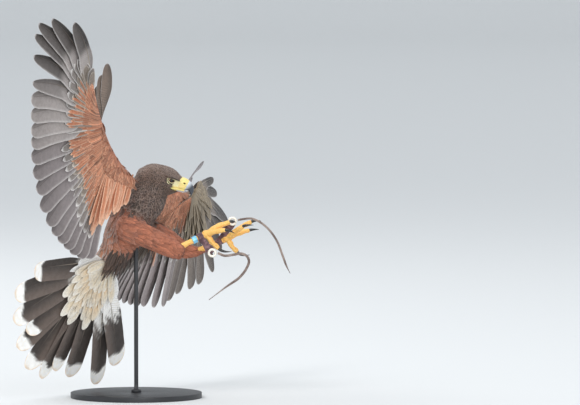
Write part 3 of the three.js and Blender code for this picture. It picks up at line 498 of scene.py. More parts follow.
# Wings: bones from shoulder to elbow, wrist and finger tip. Ten primaries are rooted in the hand and eleven
# secondaries in the forearm, each turned a little so that it lies over its neighbour.
PRIMARIES = 10
WING_FEATHERS = 21
FEATHER_LENGTHS = np.array([198, 252, 284, 285, 268, 246, 236, 227, 220, 218,
                            218, 216, 213, 212, 207, 203, 197, 190, 184, 176, 163], float)
STACK = 0.5  # how far each feather stands off its neighbour
STACK_START = -3.0
MIDDLE_OF_FEATHER = 0.55
HAND_SPAN = 0.94  # how far from finger tip to wrist the primaries reach
ARM_START, ARM_STEP = 0.08, 0.096  # the secondaries' places from wrist to elbow
SECONDARY_SWEEP, SECONDARY_RISE = 0.06, -0.05
WINGS = {
    "R": {
        "hand": -1, "shoulder": (-16, -25, 410), "elbow": (-58, -88, 432), "wrist": (-66, -125, 523),
        "digit": (-85, -190, 592), "upper": (-0.72, 0.62, 0.3), "sweep": 0.24, "rise": 0.06,
        "roll": {0: 9, 20: 9}, "sag": 8,
        "fan": {0: (-0.11, -0.74, 0.66), 1: (-0.25, -0.78, 0.58), 2: (-0.31, -0.8, 0.51),
                3: (-0.34, -0.82, 0.46), 4: (-0.38, -0.85, 0.37), 5: (-0.43, -0.87, 0.23),
                6: (-0.47, -0.87, 0.15), 8: (-0.53, -0.85, -0.05), 10: (-0.55, -0.81, -0.2),
                12: (-0.53, -0.74, -0.42), 14: (-0.46, -0.59, -0.66), 16: (-0.38, -0.48, -0.79),
                18: (-0.29, -0.35, -0.89), 20: (-0.16, -0.22, -0.96)},
        "alula": {"towards": (0.11, -0.36, 0.93), "upper": (-0.72, 0.62, 0.3), "length": 116,
                  "lift": 0, "wide": 31, "kind": "lens", "shrink": 0.17, "tone": (0.56, 0.47, 0.39)},
        "tones_with_painted_light": (1.0, 1.0), "lesser": 1.0, "slim": (1, 1),
        "axillars": {"from": 45, "to": 125, "towards": (-0.3, -0.3, -0.9)},
    },
    "L": {
        "hand": 1, "shoulder": (12, 50, 381), "elbow": (40, 105, 335), "wrist": (92, 172, 374),
        "digit": (105, 264, 379), "upper": (-0.92, 0.34, 0.14), "sweep": 0.1, "rise": 0.03,
        "roll": {0: 6, 2: 4, 3: -7, 9: -7, 10: 8, 20: 7}, "sag": -5,
        "fan": {0: (0.17, 0.98, 0.08), 1: (0.165, 0.985, -0.05), 2: (0.23, 0.94, -0.24),
                3: (0.23, 0.92, -0.32), 4: (0.21, 0.87, -0.45), 5: (0.17, 0.74, -0.65),
                6: (0.08, 0.65, -0.76), 7: (0.01, 0.57, -0.82), 8: (-0.1, 0.46, -0.88),
                9: (-0.18, 0.29, -0.94), 10: (-0.2, 0.17, -0.965),
                12: (-0.33, 0.05, -0.94), 14: (-0.41, 0.02, -0.91), 16: (-0.49, -0.07, -0.87),
                18: (-0.53, -0.17, -0.83), 20: (-0.55, -0.29, -0.78)},
        "alula": {"towards": (0.4, 0.84, 0.52), "upper": (-0.75, 0.5, 0.4), "length": 104, "lift": 8,
                  "wide": 15, "kind": "strap", "shrink": 0.5, "tone": (0.9, 0.9, 0.97)},
        # The left wing's flight feathers are painted darker and browner on the hand as painted shade, and
        # lighter on the arm as painted light.
        "tones_with_painted_light": ((0.52, 0.47, 0.41), 1.8), "lesser": 0.6, "slim": (0.55, 0.75),
        "axillars": {"from": 45, "to": 100, "towards": (-0.2, 0.25, -0.95)},
    },
}
for wing in WINGS.values():
    for joint in ("shoulder", "elbow", "wrist", "digit"):
        wing[joint] = np.array(wing[joint], float)
    wing["upper"] = unit(wing["upper"])


def flight_feathers(wing):
    """Root, lie, upper side and length of each flight feather: the lie follows the keys of the fan, and
    the upper side is square to both the lie and the line through the feathers' middles."""
    number = np.arange(WING_FEATHERS)
    keys = list(wing["fan"])
    place = np.interp(number, keys, np.arange(len(keys))) / (len(keys) - 1)
    lie = unit(curve(list(wing["fan"].values()), place))
    in_hand = (number < PRIMARIES)[:, None]
    hand_share = (number / (PRIMARIES - 1) * HAND_SPAN)[:, None]
    arm_share = (ARM_START + ARM_STEP * (number - PRIMARIES))[:, None]
    root = np.where(in_hand, blend(wing["digit"], wing["wrist"], hand_share),
                    blend(wing["wrist"], wing["elbow"], arm_share))
    middle = root + lie * FEATHER_LENGTHS[:, None] * MIDDLE_OF_FEATHER
    step = middle[np.minimum(number + 1, WING_FEATHERS - 1)] - middle[np.maximum(number - 1, 0)]
    face = unit(np.cross(lie, step))
    face *= np.where(np.sum(face * wing["upper"], axis=1, keepdims=True) < 0, -1, 1)
    normal = unit([face[max(i - 2, 0):i + 3].sum(axis=0) for i in number])
    roll = np.interp(number, list(wing["roll"]), list(wing["roll"].values()))
    height = STACK_START + STACK * np.concatenate([[0], np.cumsum(np.sign(roll[1:]))])
    return {"root": root + normal * height[:, None], "lie": lie, "normal": normal,
            "length": FEATHER_LENGTHS, "roll": roll,
            "sweep": np.where(number < PRIMARIES, wing["sweep"], SECONDARY_SWEEP),
            "rise": np.where(number < PRIMARIES, wing["rise"], SECONDARY_RISE)}


def at_number(feathers, number):
    """The same values between the flight feathers, at numbers that need not be whole."""
    whole = np.arange(WING_FEATHERS)
    found = {}
    for label, values in feathers.items():
        columns = values.reshape(WING_FEATHERS, -1).T
        found[label] = np.stack([np.interp(number, whole, column) for column in columns], 1)
    found["lie"] = unit(found["lie"])
    found["normal"] = unit(found["normal"])
    return found


for wing in WINGS.values():
    wing["feathers"] = flight_feathers(wing)


# Skin: one surface over torso, neck, skull, brows, thighs, arms, hands and tail root. Each is a row of
# ellipses along a line, drawn in by the depth of the coat there; all are fused and smoothed.
COAT_DEPTH = {"torso": 3.0, "neck": 3.0, "skull": 1.4, "brow_R": 0.6, "brow_L": 0.6, "forehead": 0.3,
              "thigh_R": 3.5, "thigh_L": 3.5, "rump": 2.0}
WING_COAT_DEPTH = 1.5
SKIN_GRAIN = 2.2  # how fine the fused surface is
DOME_ROWS = 8
DOME_REACH = 0.7  # how far a dome stands out, as a share of the end's smaller half size
LEFT = unit((0.34, 0.89, -0.3))
HEAD = np.array((47.5, 12, 412.0))
FACING = unit((0.963, 0, -0.27))
HEAD_LEFT = np.array((0, 1.0, 0))
HEAD_UP = np.cross(FACING, HEAD_LEFT)
HANDS = {"R": -1, "L": 1}


def on_head(forward, left, up):
    """A place on the head, from distances forward, to its left and up."""
    forward, left, up = (np.asarray(d, float)[..., None] for d in np.broadcast_arrays(forward, left, up))
    return HEAD + FACING * forward + HEAD_LEFT * left + HEAD_UP * up


def head_stations(rows):
    """Stations from rows of distance forward, left and up, half width and half depth."""
    rows = np.array(rows, float)
    return np.concatenate([on_head(*rows[:, :3].T), rows[:, 3:]], 1)


def arm_stations(wing):
    """The arm's ellipses: their chord runs from the skin fold in front of the arm back to the bones."""
    deep = np.array([17, 14, 12, 10.5, 9.5, 9])
    t = np.linspace(0, 1, len(deep))[:, None]
    ahead = unit(blend(wing["shoulder"], wing["wrist"], 0.5) - wing["elbow"])
    front = blend(wing["shoulder"], wing["wrist"], t) - ahead * wing["sag"] * 4 * t * (1 - t)
    back = np.where(t < 0.5, blend(wing["shoulder"], wing["elbow"], t * 2),
                    blend(wing["elbow"], wing["wrist"], t * 2 - 1))
    wide = np.linalg.norm(front - back, axis=1) / 2 + blend(17, 8, t[:, 0])
    return np.column_stack([blend(front, back, 0.5), wide, deep])


def hand_stations(wing):
    """The hand's ellipses, from the wrist to a little past the finger tip."""
    share = np.array([0.03, 0.3, 0.7, 1.02])[:, None]
    return np.column_stack([blend(wing["wrist"], wing["digit"], share), (9.5, 9, 7, 4.5), (6.5, 6, 5.5, 4)])


TAIL = {"root": np.array((-66, 0, 255.0)), "along": unit((-0.532, -0.192, -0.825)),
        "left": unit((0.437, 0.772, -0.462)), "cup": 0.086}
tail_line = TAIL["root"] + np.outer((-22, 4, 26), TAIL["along"])
BROW_BONE = np.array([(3, 20.5, 12.5, 3.5, 2.4), (16, 20.5, 13.4, 5.2, 2.8), (25, 16.5, 11.6, 4.2, 2.6),
                      (31, 11.5, 9.6, 3.0, 2.0)])

# Each part has its sections as x, y and z, half width along side and half depth across it.
FLESH = {
    "torso": {"side": LEFT, "stations": [
        (7, 13, 371, 31, 31), (4, 13, 360, 41, 38), (-6, 11, 343, 46, 42), (-22, 8, 312, 45, 39),
        (-38, 5, 279, 36, 31), (-55, 1, 252, 22, 18)]},
    "neck": {"side": HEAD_LEFT, "stations": [
        (12, 13, 358, 34, 35), (20, 13, 378, 35, 39), (24, 12, 396, 31, 38), (24, 12, 414, 24, 31)]},
    "skull": {"side": HEAD_LEFT, "stations": head_stations([
        (-34, 0, -3.4, 21, 20), (-20, 0, 1.8, 25, 26.5), (-2, 0, 3, 26, 28), (14, 0, 3, 23, 27.5),
        (26, 0, 3.5, 16.5, 23), (34, 0, 4, 10.5, 17)])},
    "brow_R": {"side": HEAD_LEFT, "stations": head_stations(BROW_BONE * (1, -1, 1, 1, 1))},
    "brow_L": {"side": HEAD_LEFT, "stations": head_stations(BROW_BONE)},
    "forehead": {"side": HEAD_LEFT, "stations": head_stations([
        (22, 0, 8, 11.5, 14), (32, 0, 8.5, 8.6, 10.4), (41, 0, 9.6, 6.4, 7.6)])},
    "thigh_R": {"side": (0, 1, 0), "stations": [
        (-26, -28, 326, 24, 27), (-4, -31, 319, 24, 26), (32, -38, 304, 21, 23), (64, -44, 289, 17, 21),
        (84, -48, 279, 13, 17)]},
    "thigh_L": {"side": (0, 1, 0), "stations": [
        (-4, 40, 326, 24, 27), (26, 38, 314, 24, 26), (55, 36, 299, 20, 24), (83, 34, 282, 16, 20),
        (110, 31, 276, 11, 13), (131, 26, 281, 7, 7)]},
    "rump": {"side": TAIL["left"], "stations": np.column_stack([tail_line, (24, 22, 18), (17, 13, 6)])},
}
for side, wing in WINGS.items():
    chord = wing["elbow"] - blend(wing["shoulder"], wing["wrist"], 0.5)
    FLESH[f"arm_{side}"] = {"side": unit(chord), "stations": arm_stations(wing)}
    FLESH[f"hand_{side}"] = {"side": wing["feathers"]["lie"][7], "stations": hand_stations(wing)}


def flesh(part, inset, rows=44, around=40):
    """Ellipses along the part's smooth line, drawn in to a dome beyond each end."""
    stations = np.asarray(part["stations"], float)
    t = np.linspace(0, 1, rows)
    centre = curve(stations[:, :3], t)
    wide, deep = (np.maximum(value_along(stations[:, k], t) - inset, 0.6) for k in (3, 4))
    dome = np.sin(np.linspace(0, 1, DOME_ROWS + 1)[1:] * math.pi / 2)
    for end, sign in ((0, -1), (-1, 1)):
        heading = unit(centre[1] - centre[0]) if end == 0 else unit(centre[-1] - centre[-2])
        reach = DOME_REACH * min(wide[end], deep[end])
        more = centre[end] + np.outer(dome, heading) * sign * reach
        draw = np.sqrt(np.maximum(1 - dome ** 2, 0.0004))
        order = slice(None, None, sign)
        centre = np.concatenate([more[order], centre] if end == 0 else [centre, more])
        wide = np.concatenate([(wide[end] * draw)[order], wide] if end == 0 else [wide, wide[end] * draw])
        deep = np.concatenate([(deep[end] * draw)[order], deep] if end == 0 else [deep, deep[end] * draw])
    return rings(centre, np.asarray(part["side"], float), wide, deep, around)


def merged(shapes):
    """Several tubes as one: their points and their renumbered faces."""
    faces, start = [], 0
    for shape in shapes:
        faces.extend(group + start for group in tube_faces(*shape.shape[:2]))
        start += shape.shape[0] * shape.shape[1]
    return np.concatenate([shape.reshape(-1, 3) for shape in shapes]), faces


def fused(name, shapes):
    """One closed surface round several closed ones, as an even net of quads, smoothed where they meet."""
    raw = bpy.data.meshes.new(name)
    points, faces = merged(shapes)
    raw.from_pydata((points * MM).tolist(), [], [face for group in faces for face in group.tolist()])
    body = bpy.data.objects.new(name, raw)
    scene.collection.objects.link(body)
    remesh = body.modifiers.new("fuse", "REMESH")
    remesh.mode = "VOXEL"
    remesh.voxel_size = SKIN_GRAIN * MM
    remesh.use_smooth_shade = True
    soften = body.modifiers.new("soften", "SMOOTH")
    soften.factor = 0.5
    soften.iterations = 5
    body.data = bpy.data.meshes.new_from_object(body.evaluated_get(bpy.context.evaluated_depsgraph_get()))
    body.modifiers.clear()
    return body


def head_place(points):
    """Distances forward on the head, to its left and up."""
    off = points - HEAD
    return off @ FACING, off @ HEAD_LEFT, off @ HEAD_UP


def values_of(collection, label, width, kind=np.float32):
    """One property of everything in a collection, as an array with width columns."""
    values = np.empty(len(collection) * width, kind)
    collection.foreach_get(label, values)
    return values.reshape(-1, width) if width > 1 else values


skin = fused("skin", [flesh(part, COAT_DEPTH.get(name, WING_COAT_DEPTH)) for name, part in FLESH.items()])
# Each eye sits in a hollow under the brow, and a shallower one runs forward from it to the bill: depth,
# and place and reach forward and up. The middle of the head is left as it is.
HOLLOWS = ((2.8, 18, 8, 6, 5), (1.6, 29, 6, 3, 5))
MIDDLE_OF_HEAD = 7
points = values_of(skin.data.vertices, "co", 3) * 1000
forward, left, up = head_place(points)
hollow = sum(deep * np.exp(-((forward - x) / long) ** 2 - ((up - z) / high) ** 2)
             for deep, x, long, z, high in HOLLOWS) * (np.abs(left) > MIDDLE_OF_HEAD)
points = points - HEAD_LEFT * (np.sign(left) * hollow)[:, None]
skin.data.vertices.foreach_set("co", (points * MM).astype(np.float32).ravel())
skin.data.update()
bpy.context.view_layer.objects.active = skin
skin.select_set(True)
skin.data.uv_layers.new(name="OFBake")
bpy.ops.object.mode_set(mode="EDIT")
bpy.ops.mesh.select_all(action="SELECT")
bpy.ops.uv.smart_project(angle_limit=math.radians(66), island_margin=0.003)
bpy.ops.object.mode_set(mode="OBJECT")
skin.select_set(False)

skin_points = values_of(skin.data.vertices, "co", 3) * 1000
skin_normals = values_of(skin.data.vertices, "normal", 3)
skin.data.calc_loop_triangles()
skin_triangles = values_of(skin.data.loop_triangles, "vertices", 3, np.int32)
skin_loops = values_of(skin.data.loop_triangles, "loops", 3, np.int32)
skin_map = values_of(skin.data.uv_layers["OFBake"].data, "uv", 2)
skin_tree = BVHTree.FromPolygons(skin_points.tolist(), skin_triangles.tolist())


def nearest_skin(points):
    """The nearest place on the skin to each point, its normal there, and its place on the skin's map."""
    found = [skin_tree.find_nearest(Vector(p)) for p in points]
    at = np.array([f[0] for f in found])
    triangle = np.array([f[2] for f in found])
    normal = unit(skin_normals[skin_triangles[triangle]].mean(axis=1))
    return at, normal, skin_map[skin_loops[triangle]].mean(axis=1)


# Coat: contour feathers all over the skin. Guides on each part of the body say which way they lie, how
# long and wide they are and what colour; between the guides these run smoothly from one to the next.
# Lengths are in millimetres.
COAT_TILT = 1.2  # how far a feather's middle stands off the skin
FULL_TILT_LENGTH = 14  # shorter feathers stand off less
ROOT_UNDER_SKIN = 0.6
UMBER = shade("5a483e")
BISTRE = shade("3f322b")
FRINGE = shade("a8958a")
CHESTNUT = shade("a8674d")
RUFOUS = shade("b87858")
RUFOUS_EDGE = shade("dcae92")
BUFF = shade("dcc6a6")
PALE_GREY = shade("b9b4b0")
GREY_BROWN = shade("84755f")
guides = []


def guide(at, lie, length, wide, centre, edge, part):
    """One guide or several, at their places, with the colour along the shaft and at the edges."""
    at = np.atleast_2d(at)
    count = len(at)
    spread = [np.broadcast_to(np.asarray(x, float), (count, 3)) for x in (lie, centre, edge)]
    sizes = [np.broadcast_to(np.asarray(x, float), count)[:, None] for x in (length, wide, part)]
    row = [at, unit(spread[0]), sizes[0], sizes[1], spread[1], spread[2], sizes[2]]
    guides.append(np.concatenate(row, 1))


def belt(name, t, angles):
    """Places round a part at one share of its line, from angles about it in degrees, and the line's own
    direction there."""
    part = FLESH[name]
    stations = np.asarray(part["stations"], float)
    share = np.array([max(t - 0.02, 0), t, min(t + 0.02, 1)])
    centre = curve(stations[:, :3], share)
    wide, deep = (value_along(stations[:, k], share) for k in (3, 4))
    ring = rings(centre, np.asarray(part["side"], float), wide, deep, 36)[1]
    return ring[(np.asarray(angles) // 10) % 36], unit(centre[2] - centre[0])


def turned_to(at, direction):
    """How much places round a part look in a direction, from -1 to 1."""
    return np.sum(unit(at - at.mean(axis=0)) * direction, axis=1)


PARTS = ("head", "neck", "body", "thigh_R", "thigh_L", "wing_R", "wing_L", "rump")
AROUND = np.arange(0, 360, 40)
BELLY = unit((0.8, -0.46, -0.41))
# In each loop: share along the part, and the length and width of feathers there.
for t, length, wide in ((0.0, 15, 9), (0.3, 20, 12), (0.6, 24, 13), (0.85, 24, 12), (1.0, 24, 11)):
    at, line = belt("torso", t, AROUND)
    flank = ease(0.45, 0.7, t) * ease(0.1, 0.6, -turned_to(at, LEFT))
    flank = (flank * ease(0.66, 0.36, turned_to(at, BELLY)))[:, None]
    centre = blend(BISTRE * 0.75, RUFOUS * 0.7, flank)
    edge = blend(blend(UMBER, FRINGE, 0.5 * ease(0.5, 0.0, t)), PALE_GREY, flank * 0.85)
    guide(at, line, length, wide, centre, edge, PARTS.index("body"))
for t, length, wide in ((0.15, 15, 9), (0.45, 12, 7.5), (0.8, 9.5, 6)):
    at, line = belt("neck", t, AROUND)
    guide(at, -line - 0.25 * FACING, length, wide, BISTRE * 0.8, blend(UMBER, FRINGE, 0.85),
          PARTS.index("neck"))
for t, length, wide in ((0.0, 9, 5), (0.3, 7.5, 4.4), (0.6, 6, 3.6), (0.85, 4.6, 2.8), (1.0, 3.4, 2.0)):
    at, line = belt("skull", t, AROUND)
    # The crown's feathers are painted lighter towards the top of the head: a painted highlight.
    crown_highlight = ease(0.1, 0.8, turned_to(at, HEAD_UP))[:, None]
    guide(at, -line - 0.3 * HEAD_UP, length, wide, blend(BISTRE, UMBER * 1.15, crown_highlight),
          blend(UMBER * 2.1, FRINGE, crown_highlight), PARTS.index("head"))
for side in "RL":
    for t, length, wide in ((0.0, 24, 7), (0.3, 25, 6), (0.6, 23, 5.5), (0.85, 19, 5), (1.0, 15, 4.5)):
        at, line = belt(f"thigh_{side}", t, AROUND)
        tone = 1 - 0.35 * ease(0.8, 1.0, t)
        hang = (ease(0.5, 0.9, t) * ease(0.1, 0.8, -turned_to(at, (0, 0, 1))))[:, None]
        guide(at, line + hang * (0.25, 0, -0.35), length * (1 + 0.9 * hang[:, 0]), wide,
              CHESTNUT * 0.9 * tone, CHESTNUT * 1.2 * tone, PARTS.index(f"thigh_{side}"))
for t in (0.3, 1.0):
    at, line = belt("rump", t, AROUND)
    below = ease(-0.2, 0.5, turned_to(at, -np.cross(TAIL["left"], TAIL["along"])))[:, None]
    guide(at, line, 26, 12, blend(BISTRE, BUFF, below), blend(UMBER, BUFF * 1.15, below),
          PARTS.index("rump"))
for side, wing in WINGS.items():
    # The left hand's grey-brown lining is partly its own colour and partly painted shade.
    wing["lining"] = RUFOUS if side == "R" else GREY_BROWN
    part = PARTS.index(f"wing_{side}")
    for name, first, last, lengths in (("arm", 20, 10, (20, 30)), ("hand", 9, 1, (14, 20))):
        for t in (0.0, 0.25, 0.5, 0.75, 1.0):
            at, line = belt(f"{name}_{side}", t, AROUND)
            near = at_number(wing["feathers"], np.full(len(at), blend(first, last, t)))
            back = np.sum((at - at.mean(axis=0)) * FLESH[f"{name}_{side}"]["side"], axis=1)
            back = 0.5 + 0.5 * back / np.abs(back).max()
            above = ease(-0.15, 0.15, turned_to(at, wing["upper"]))[:, None]
            tone = wing["lining"] if name == "hand" else RUFOUS
            top = UMBER if name == "hand" else blend(CHESTNUT, UMBER, (back * 0.9)[:, None])
            length = blend(*lengths, back)
            guide(at, near["lie"], length, length * 0.38, blend(tone * 0.85, top, above),
                  blend(blend(tone, RUFOUS_EDGE, 0.7 * (tone is RUFOUS)) * 1.1, top * 1.4, above), part)
guides = np.concatenate(guides)


AT_ONCE = 4000
GUIDE_SOFTNESS = 20.0  # square millimetres


def guided(points):
    """Values at each point. A guide at a distance d counts by 1 / (d d + softness) squared, and the part of
    the body is the nearest guide's."""
    found = np.empty((len(points), guides.shape[1] - 3))
    for start in range(0, len(points), AT_ONCE):
        these = slice(start, start + AT_ONCE)
        gap = np.sum((points[these][:, None] - guides[None, :, :3]) ** 2, axis=2) + GUIDE_SOFTNESS
        weight = gap ** -2
        weight /= weight.sum(axis=1, keepdims=True)
        found[these] = weight @ guides[:, 3:]
        found[these, -1] = guides[np.argmin(gap, axis=1), -1]
    return {"lie": found[:, :3], "length": found[:, 3], "wide": found[:, 4], "centre": found[:, 5:8],
            "edge": found[:, 8:11], "part": found[:, 11].round().astype(int)}


EYE = {"forward": 17.5, "out": 14.5, "up": 7, "radius": 8.5}


def bare_face(points):
    """How bare the skin is: from the bill back to the eye on each side, below the brow and above the chin,
    and a ring round the eye."""
    forward, left, up = head_place(points)
    lores = ease(19, 25, forward + 0.35 * (up - 2)) * ease(-10.5, -8.5, up) * ease(11.5, 8.5, up)
    eye_gap = np.sqrt((forward - EYE["forward"]) ** 2 + (up - EYE["up"]) ** 2)
    ring = ease(7.7, 6.9, eye_gap) * (np.abs(left) > 10) * (forward < 40) * ease(12.5, 11.5, up)
    return np.maximum(lores, ring)


# Roots: candidates spread over the skin by its area, with more on the head. Each one that is kept clears
# away the others within its spacing.
CANDIDATES = 150000
MORE_ON_HEAD = 5
SPACING = 0.36  # as a share of the geometric mean of a feather's length and width
corners = skin_points[skin_triangles]
areas = np.linalg.norm(np.cross(corners[:, 1] - corners[:, 0], corners[:, 2] - corners[:, 0]), axis=1) / 2
middle = corners.mean(axis=1)
on_head_share = ease(-60, -30, (middle - HEAD) @ FACING) * ease(-30, -15, (middle - HEAD) @ HEAD_UP)
chance = areas * (1 + MORE_ON_HEAD * on_head_share)
chosen = rng.choice(len(areas), CANDIDATES, p=chance / chance.sum())
corner_share = rng.random((CANDIDATES, 3))
corner_share = -np.log(corner_share + 1e-9)
corner_share = (corner_share / corner_share.sum(axis=1, keepdims=True))[..., None]
roots = np.sum(corners[chosen] * corner_share, axis=1)
root_normal = unit(np.sum(skin_normals[skin_triangles[chosen]] * corner_share, axis=1))
root_map = np.sum(skin_map[skin_loops[chosen]] * corner_share, axis=1)
wanted = guided(roots)
spacing = SPACING * np.sqrt(wanted["length"] * wanted["wide"])
tree = KDTree(CANDIDATES)
for i, root in enumerate(roots.tolist()):
    tree.insert(root, i)
tree.balance()
free = bare_face(roots) < 0.5
kept = []
for i in range(CANDIDATES):
    if free[i]:
        kept.append(i)
        for _, near, _ in tree.find_range(roots[i], spacing[i]):
            free[near] = False
kept = np.array(kept)
roots, root_normal, root_map = roots[kept], root_normal[kept], root_map[kept]
wanted = guided(roots)

# Shafts: each lies along the guides' direction on the skin, and bends with it through a point over its
# middle and one over its tip.
lie = wanted["lie"] - root_normal * np.sum(wanted["lie"] * root_normal, axis=1, keepdims=True)
lie = unit(unit(lie) + rng.normal(0, 0.1, lie.shape))
length = wanted["length"] * rng.uniform(0.85, 1.15, len(roots))
wide = wanted["wide"] * rng.uniform(0.85, 1.1, len(roots))
half_at, half_normal, _ = nearest_skin(roots + lie * length[:, None] * 0.5)
tip_at, tip_normal, _ = nearest_skin(roots + lie * length[:, None])
lift = COAT_TILT * np.minimum(length / FULL_TILT_LENGTH, 1) * rng.uniform(0.7, 1.3, len(roots))
lift = lift[:, None]
half_at = half_at + half_normal * lift
tip_at = tip_at + tip_normal * lift * rng.uniform(1.0, 2.0, (len(roots), 1))
start = roots - root_normal * ROOT_UNDER_SKIN
control = 2 * half_at - (start + tip_at) / 2
light = rng.normal(1, 0.15, (len(roots), 1))
warm = rng.normal(0, 0.008, (len(roots), 1)) * (1, 0.3, -0.6)


def barb_place(finish, slope):
    """Metres along the shaft less slope times the metres from it, from the feather's own map: the same
    all along a barb that slopes away from the shaft."""
    metres = finish.split(finish.node("UVMap", {"uv_map": "barbs"}, {}, "UV"))
    return metres.output("Y") - metres.sum("ABSOLUTE", metres) * slope


def barb_height(finish, pitch):
    """Barbs on both sides of the shaft, as a wave of their place."""
    phase = barb_place(finish, 0.8) * (2 * math.pi / pitch)
    return phase.sum("SINE", phase)


# The colour comes with each leaf as its tint. Barbs and a little mottle go over it.
COAT_BARBS = 0.0011
coat_finish = Finish("coat_feathers", Sheen_Weight=0.1, Sheen_Roughness=0.5)
barbs = barb_height(coat_finish, COAT_BARBS)
seed = coat_finish.split(coat_finish.stored("place")).output("Z")
tone = coat_finish.step(coat_finish.noise(260, 4), 0.3, 0.7, 0.86, 1.1) + barbs * 0.06
coat_material = coat_finish.wear(
    Base_Color=coat_finish.toned(tone),
    Roughness=coat_finish.step(seed, 0.0, 1.0, 0.68, 0.84),
    Normal=coat_finish.bump(barbs, 0.35, COAT_BARBS * 0.4))
skin_finish = Finish("skin", Roughness=0.7)
skin_finish.wear(Base_Color=skin_finish.stored("tint", "Color"),
                 Normal=skin_finish.bump(skin_finish.noise(1400, 3), 0.3, 0.0003))


def leaf_tint(place, centre, edge, tip=0.25, streak=0.0, rim=0.45):
    """Centre colour along the shaft and edge colour from rim outwards, mixed by how far out a point is."""
    t, u = place[..., 0], np.abs(place[..., 1])
    share = np.maximum(ease(rim, 1.0, u), ease(1 - tip, 1.0, t))[..., None]
    colour = blend(centre[:, None, None], edge[:, None, None], share)
    return colour * (1 - streak * (1 - ease(0.0, 0.3, u)) * ease(0.1, 0.3, t))[..., None]


skin_wanted = guided(skin_points)
bare = bare_face(skin_points)[:, None]
LORES = shade("efe7ba")
GAPE_YELLOW = shade("f2d45f")
lip = ease(1, -6, head_place(skin_points)[2])[:, None]
store_tint(skin.data, blend(skin_wanted["centre"], blend(LORES, GAPE_YELLOW, lip * 0.8), bare))
skin.data.materials.clear()
skin.data.materials.append(skin_finish.material)
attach(skin, "root")
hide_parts("torso", "neck", "head", "thigh_R", "thigh_L")

for number, part in enumerate(PARTS):
    mine = wanted["part"] == number
    centre = np.clip(wanted["centre"][mine] * light[mine] + warm[mine] * 0.3, 0.003, 1)
    edge = np.clip(wanted["edge"][mine] * light[mine], 0.003, 1)
    made = leaves(
        start[mine], 2 * (control - start)[mine], (start - 2 * control + tip_at)[mine],
        unit(tip_at - start)[mine], unit(root_normal + half_normal)[mine], wide[mine] / 2, wide[mine] / 2,
        "lancet" if part in ("head", "neck") else "covert", 5, 4, roll=rng.normal(0, 5, mine.sum()),
        thick=0.35, camber=0.25, ragged=0.25, skin_at=root_map[mine])
    leaf_piece(f"coat_{part}", made, coat_material,
               leaf_tint(made["place"], centre, edge, streak=0.15))
    print(part, mine.sum(), "feathers")

# Vent: long dark soft feathers that hang from the belly behind the legs, over the pale root of the tail.
VENT = {"at": (-24, 268), "reach": (24, 17), "length": (20, 46), "half_width": 3.2,
        "towards": (-0.52, 0.0, -0.85)}
mine = ((np.abs(roots[:, 0] - VENT["at"][0]) < VENT["reach"][0])
        & (np.abs(roots[:, 2] - VENT["at"][1]) < VENT["reach"][1]) & (root_normal @ BELLY > 0))
count = mine.sum()
lie_now = unit(np.array(VENT["towards"]) + rng.normal(0, 0.1, (count, 3)))
length_now = rng.uniform(*VENT["length"], count)[:, None]
made = leaves(start[mine], lie_now * length_now, root_normal[mine] * 2, lie_now, root_normal[mine],
              VENT["half_width"], VENT["half_width"], "lancet", 8, 4, roll=rng.normal(0, 8, count),
              thick=0.35, camber=0.25, ragged=0.3, skin_at=root_map[mine])
tone = rng.normal(1, 0.15, (count, 1))
leaf_piece("coat_vent", made, coat_material,
           leaf_tint(made["place"], BISTRE * tone, UMBER * 1.5 * tone, streak=0.2))
print("vent", count, "feathers")


# Flight feathers: stiff plates with a raised shaft, dark at the tips and paler towards the root below, with
# faint bars. Coverts lie over their roots above and below in tiers, and grow smaller towards the front.
TIP_DARK = shade("2f2722")
PRIMARY_GREY = shade("a39a96")
SECONDARY_GREY = shade("857c7b")
RIM_PALE_AND_HIGHLIGHT = shade("d6d0cc")
UPPER_DARK = shade("3a312c")
ROOT_SUNK = 5
SHINGLE = 9  # degrees that coverts are rolled by, so that each lies over the next


# Faint bars run across each vane, a little uneven, and fade out towards its tip.
FLIGHT_BARBS = 0.0012
BARS = 1300  # radians of their wave in a metre
vanes = Finish("flight_vanes", Sheen_Weight=0.1, Sheen_Roughness=0.4)
along = vanes.split(vanes.stored("place"))
bar_phase = barb_place(vanes, 0.5) * BARS + vanes.noise(70, 2) * 5 + along.output("Z") * 6
bars = vanes.step(bar_phase.sum("SINE", bar_phase), 0.1, 0.9) * vanes.step(along, 0.72, 0.5)
barbs = barb_height(vanes, FLIGHT_BARBS)
tone = (1.1 - bars * 0.28 + barbs * 0.05) * vanes.step(vanes.noise(120, 4), 0.3, 0.7, 0.9, 1.08)
flight_material = vanes.wear(
    Base_Color=vanes.toned(tone),
    Roughness=vanes.step(vanes.noise(90, 3), 0.3, 0.7, 0.52, 0.68),
    Normal=vanes.bump(barbs, 0.3, 0.0005))
quills = Finish("shafts", Roughness=0.4)
shaft_material = quills.wear(Base_Color=quills.mix(
    quills.step(quills.split(quills.stored("place")), 0.1, 0.85), ink("b9ac9a"), ink("4a3f38")))


def shafts(root, reach, bend, face, radius, until=0.97, rows=22, sides=6):
    """Tapered rods along the middle lines of feathers, thickest at the root."""
    t = np.linspace(0, until, rows)
    line = root[:, None] + reach[:, None] * t[None, :, None] + bend[:, None] * t[None, :, None] ** 2
    lie = unit(reach + bend)
    first = unit(np.cross(lie, face))
    second = np.cross(lie, first)
    angle = turns(sides)
    size = radius[:, None] * blend(1, 0.25, t)[None]
    points = (line[:, :, None] + size[:, :, None, None] * (
        first[:, None, None] * np.cos(angle)[None, None, :, None]
        + second[:, None, None] * np.sin(angle)[None, None, :, None]))
    offset = (np.arange(len(root)) * rows * sides)[:, None, None]
    faces = [(group[None] + offset).reshape(-1, group.shape[1]) for group in tube_faces(rows, sides)]
    place = np.broadcast_to(np.outer(t, (1, 0, 0))[None, :, None], points.shape)
    return {"points": points, "faces": faces, "place": place}


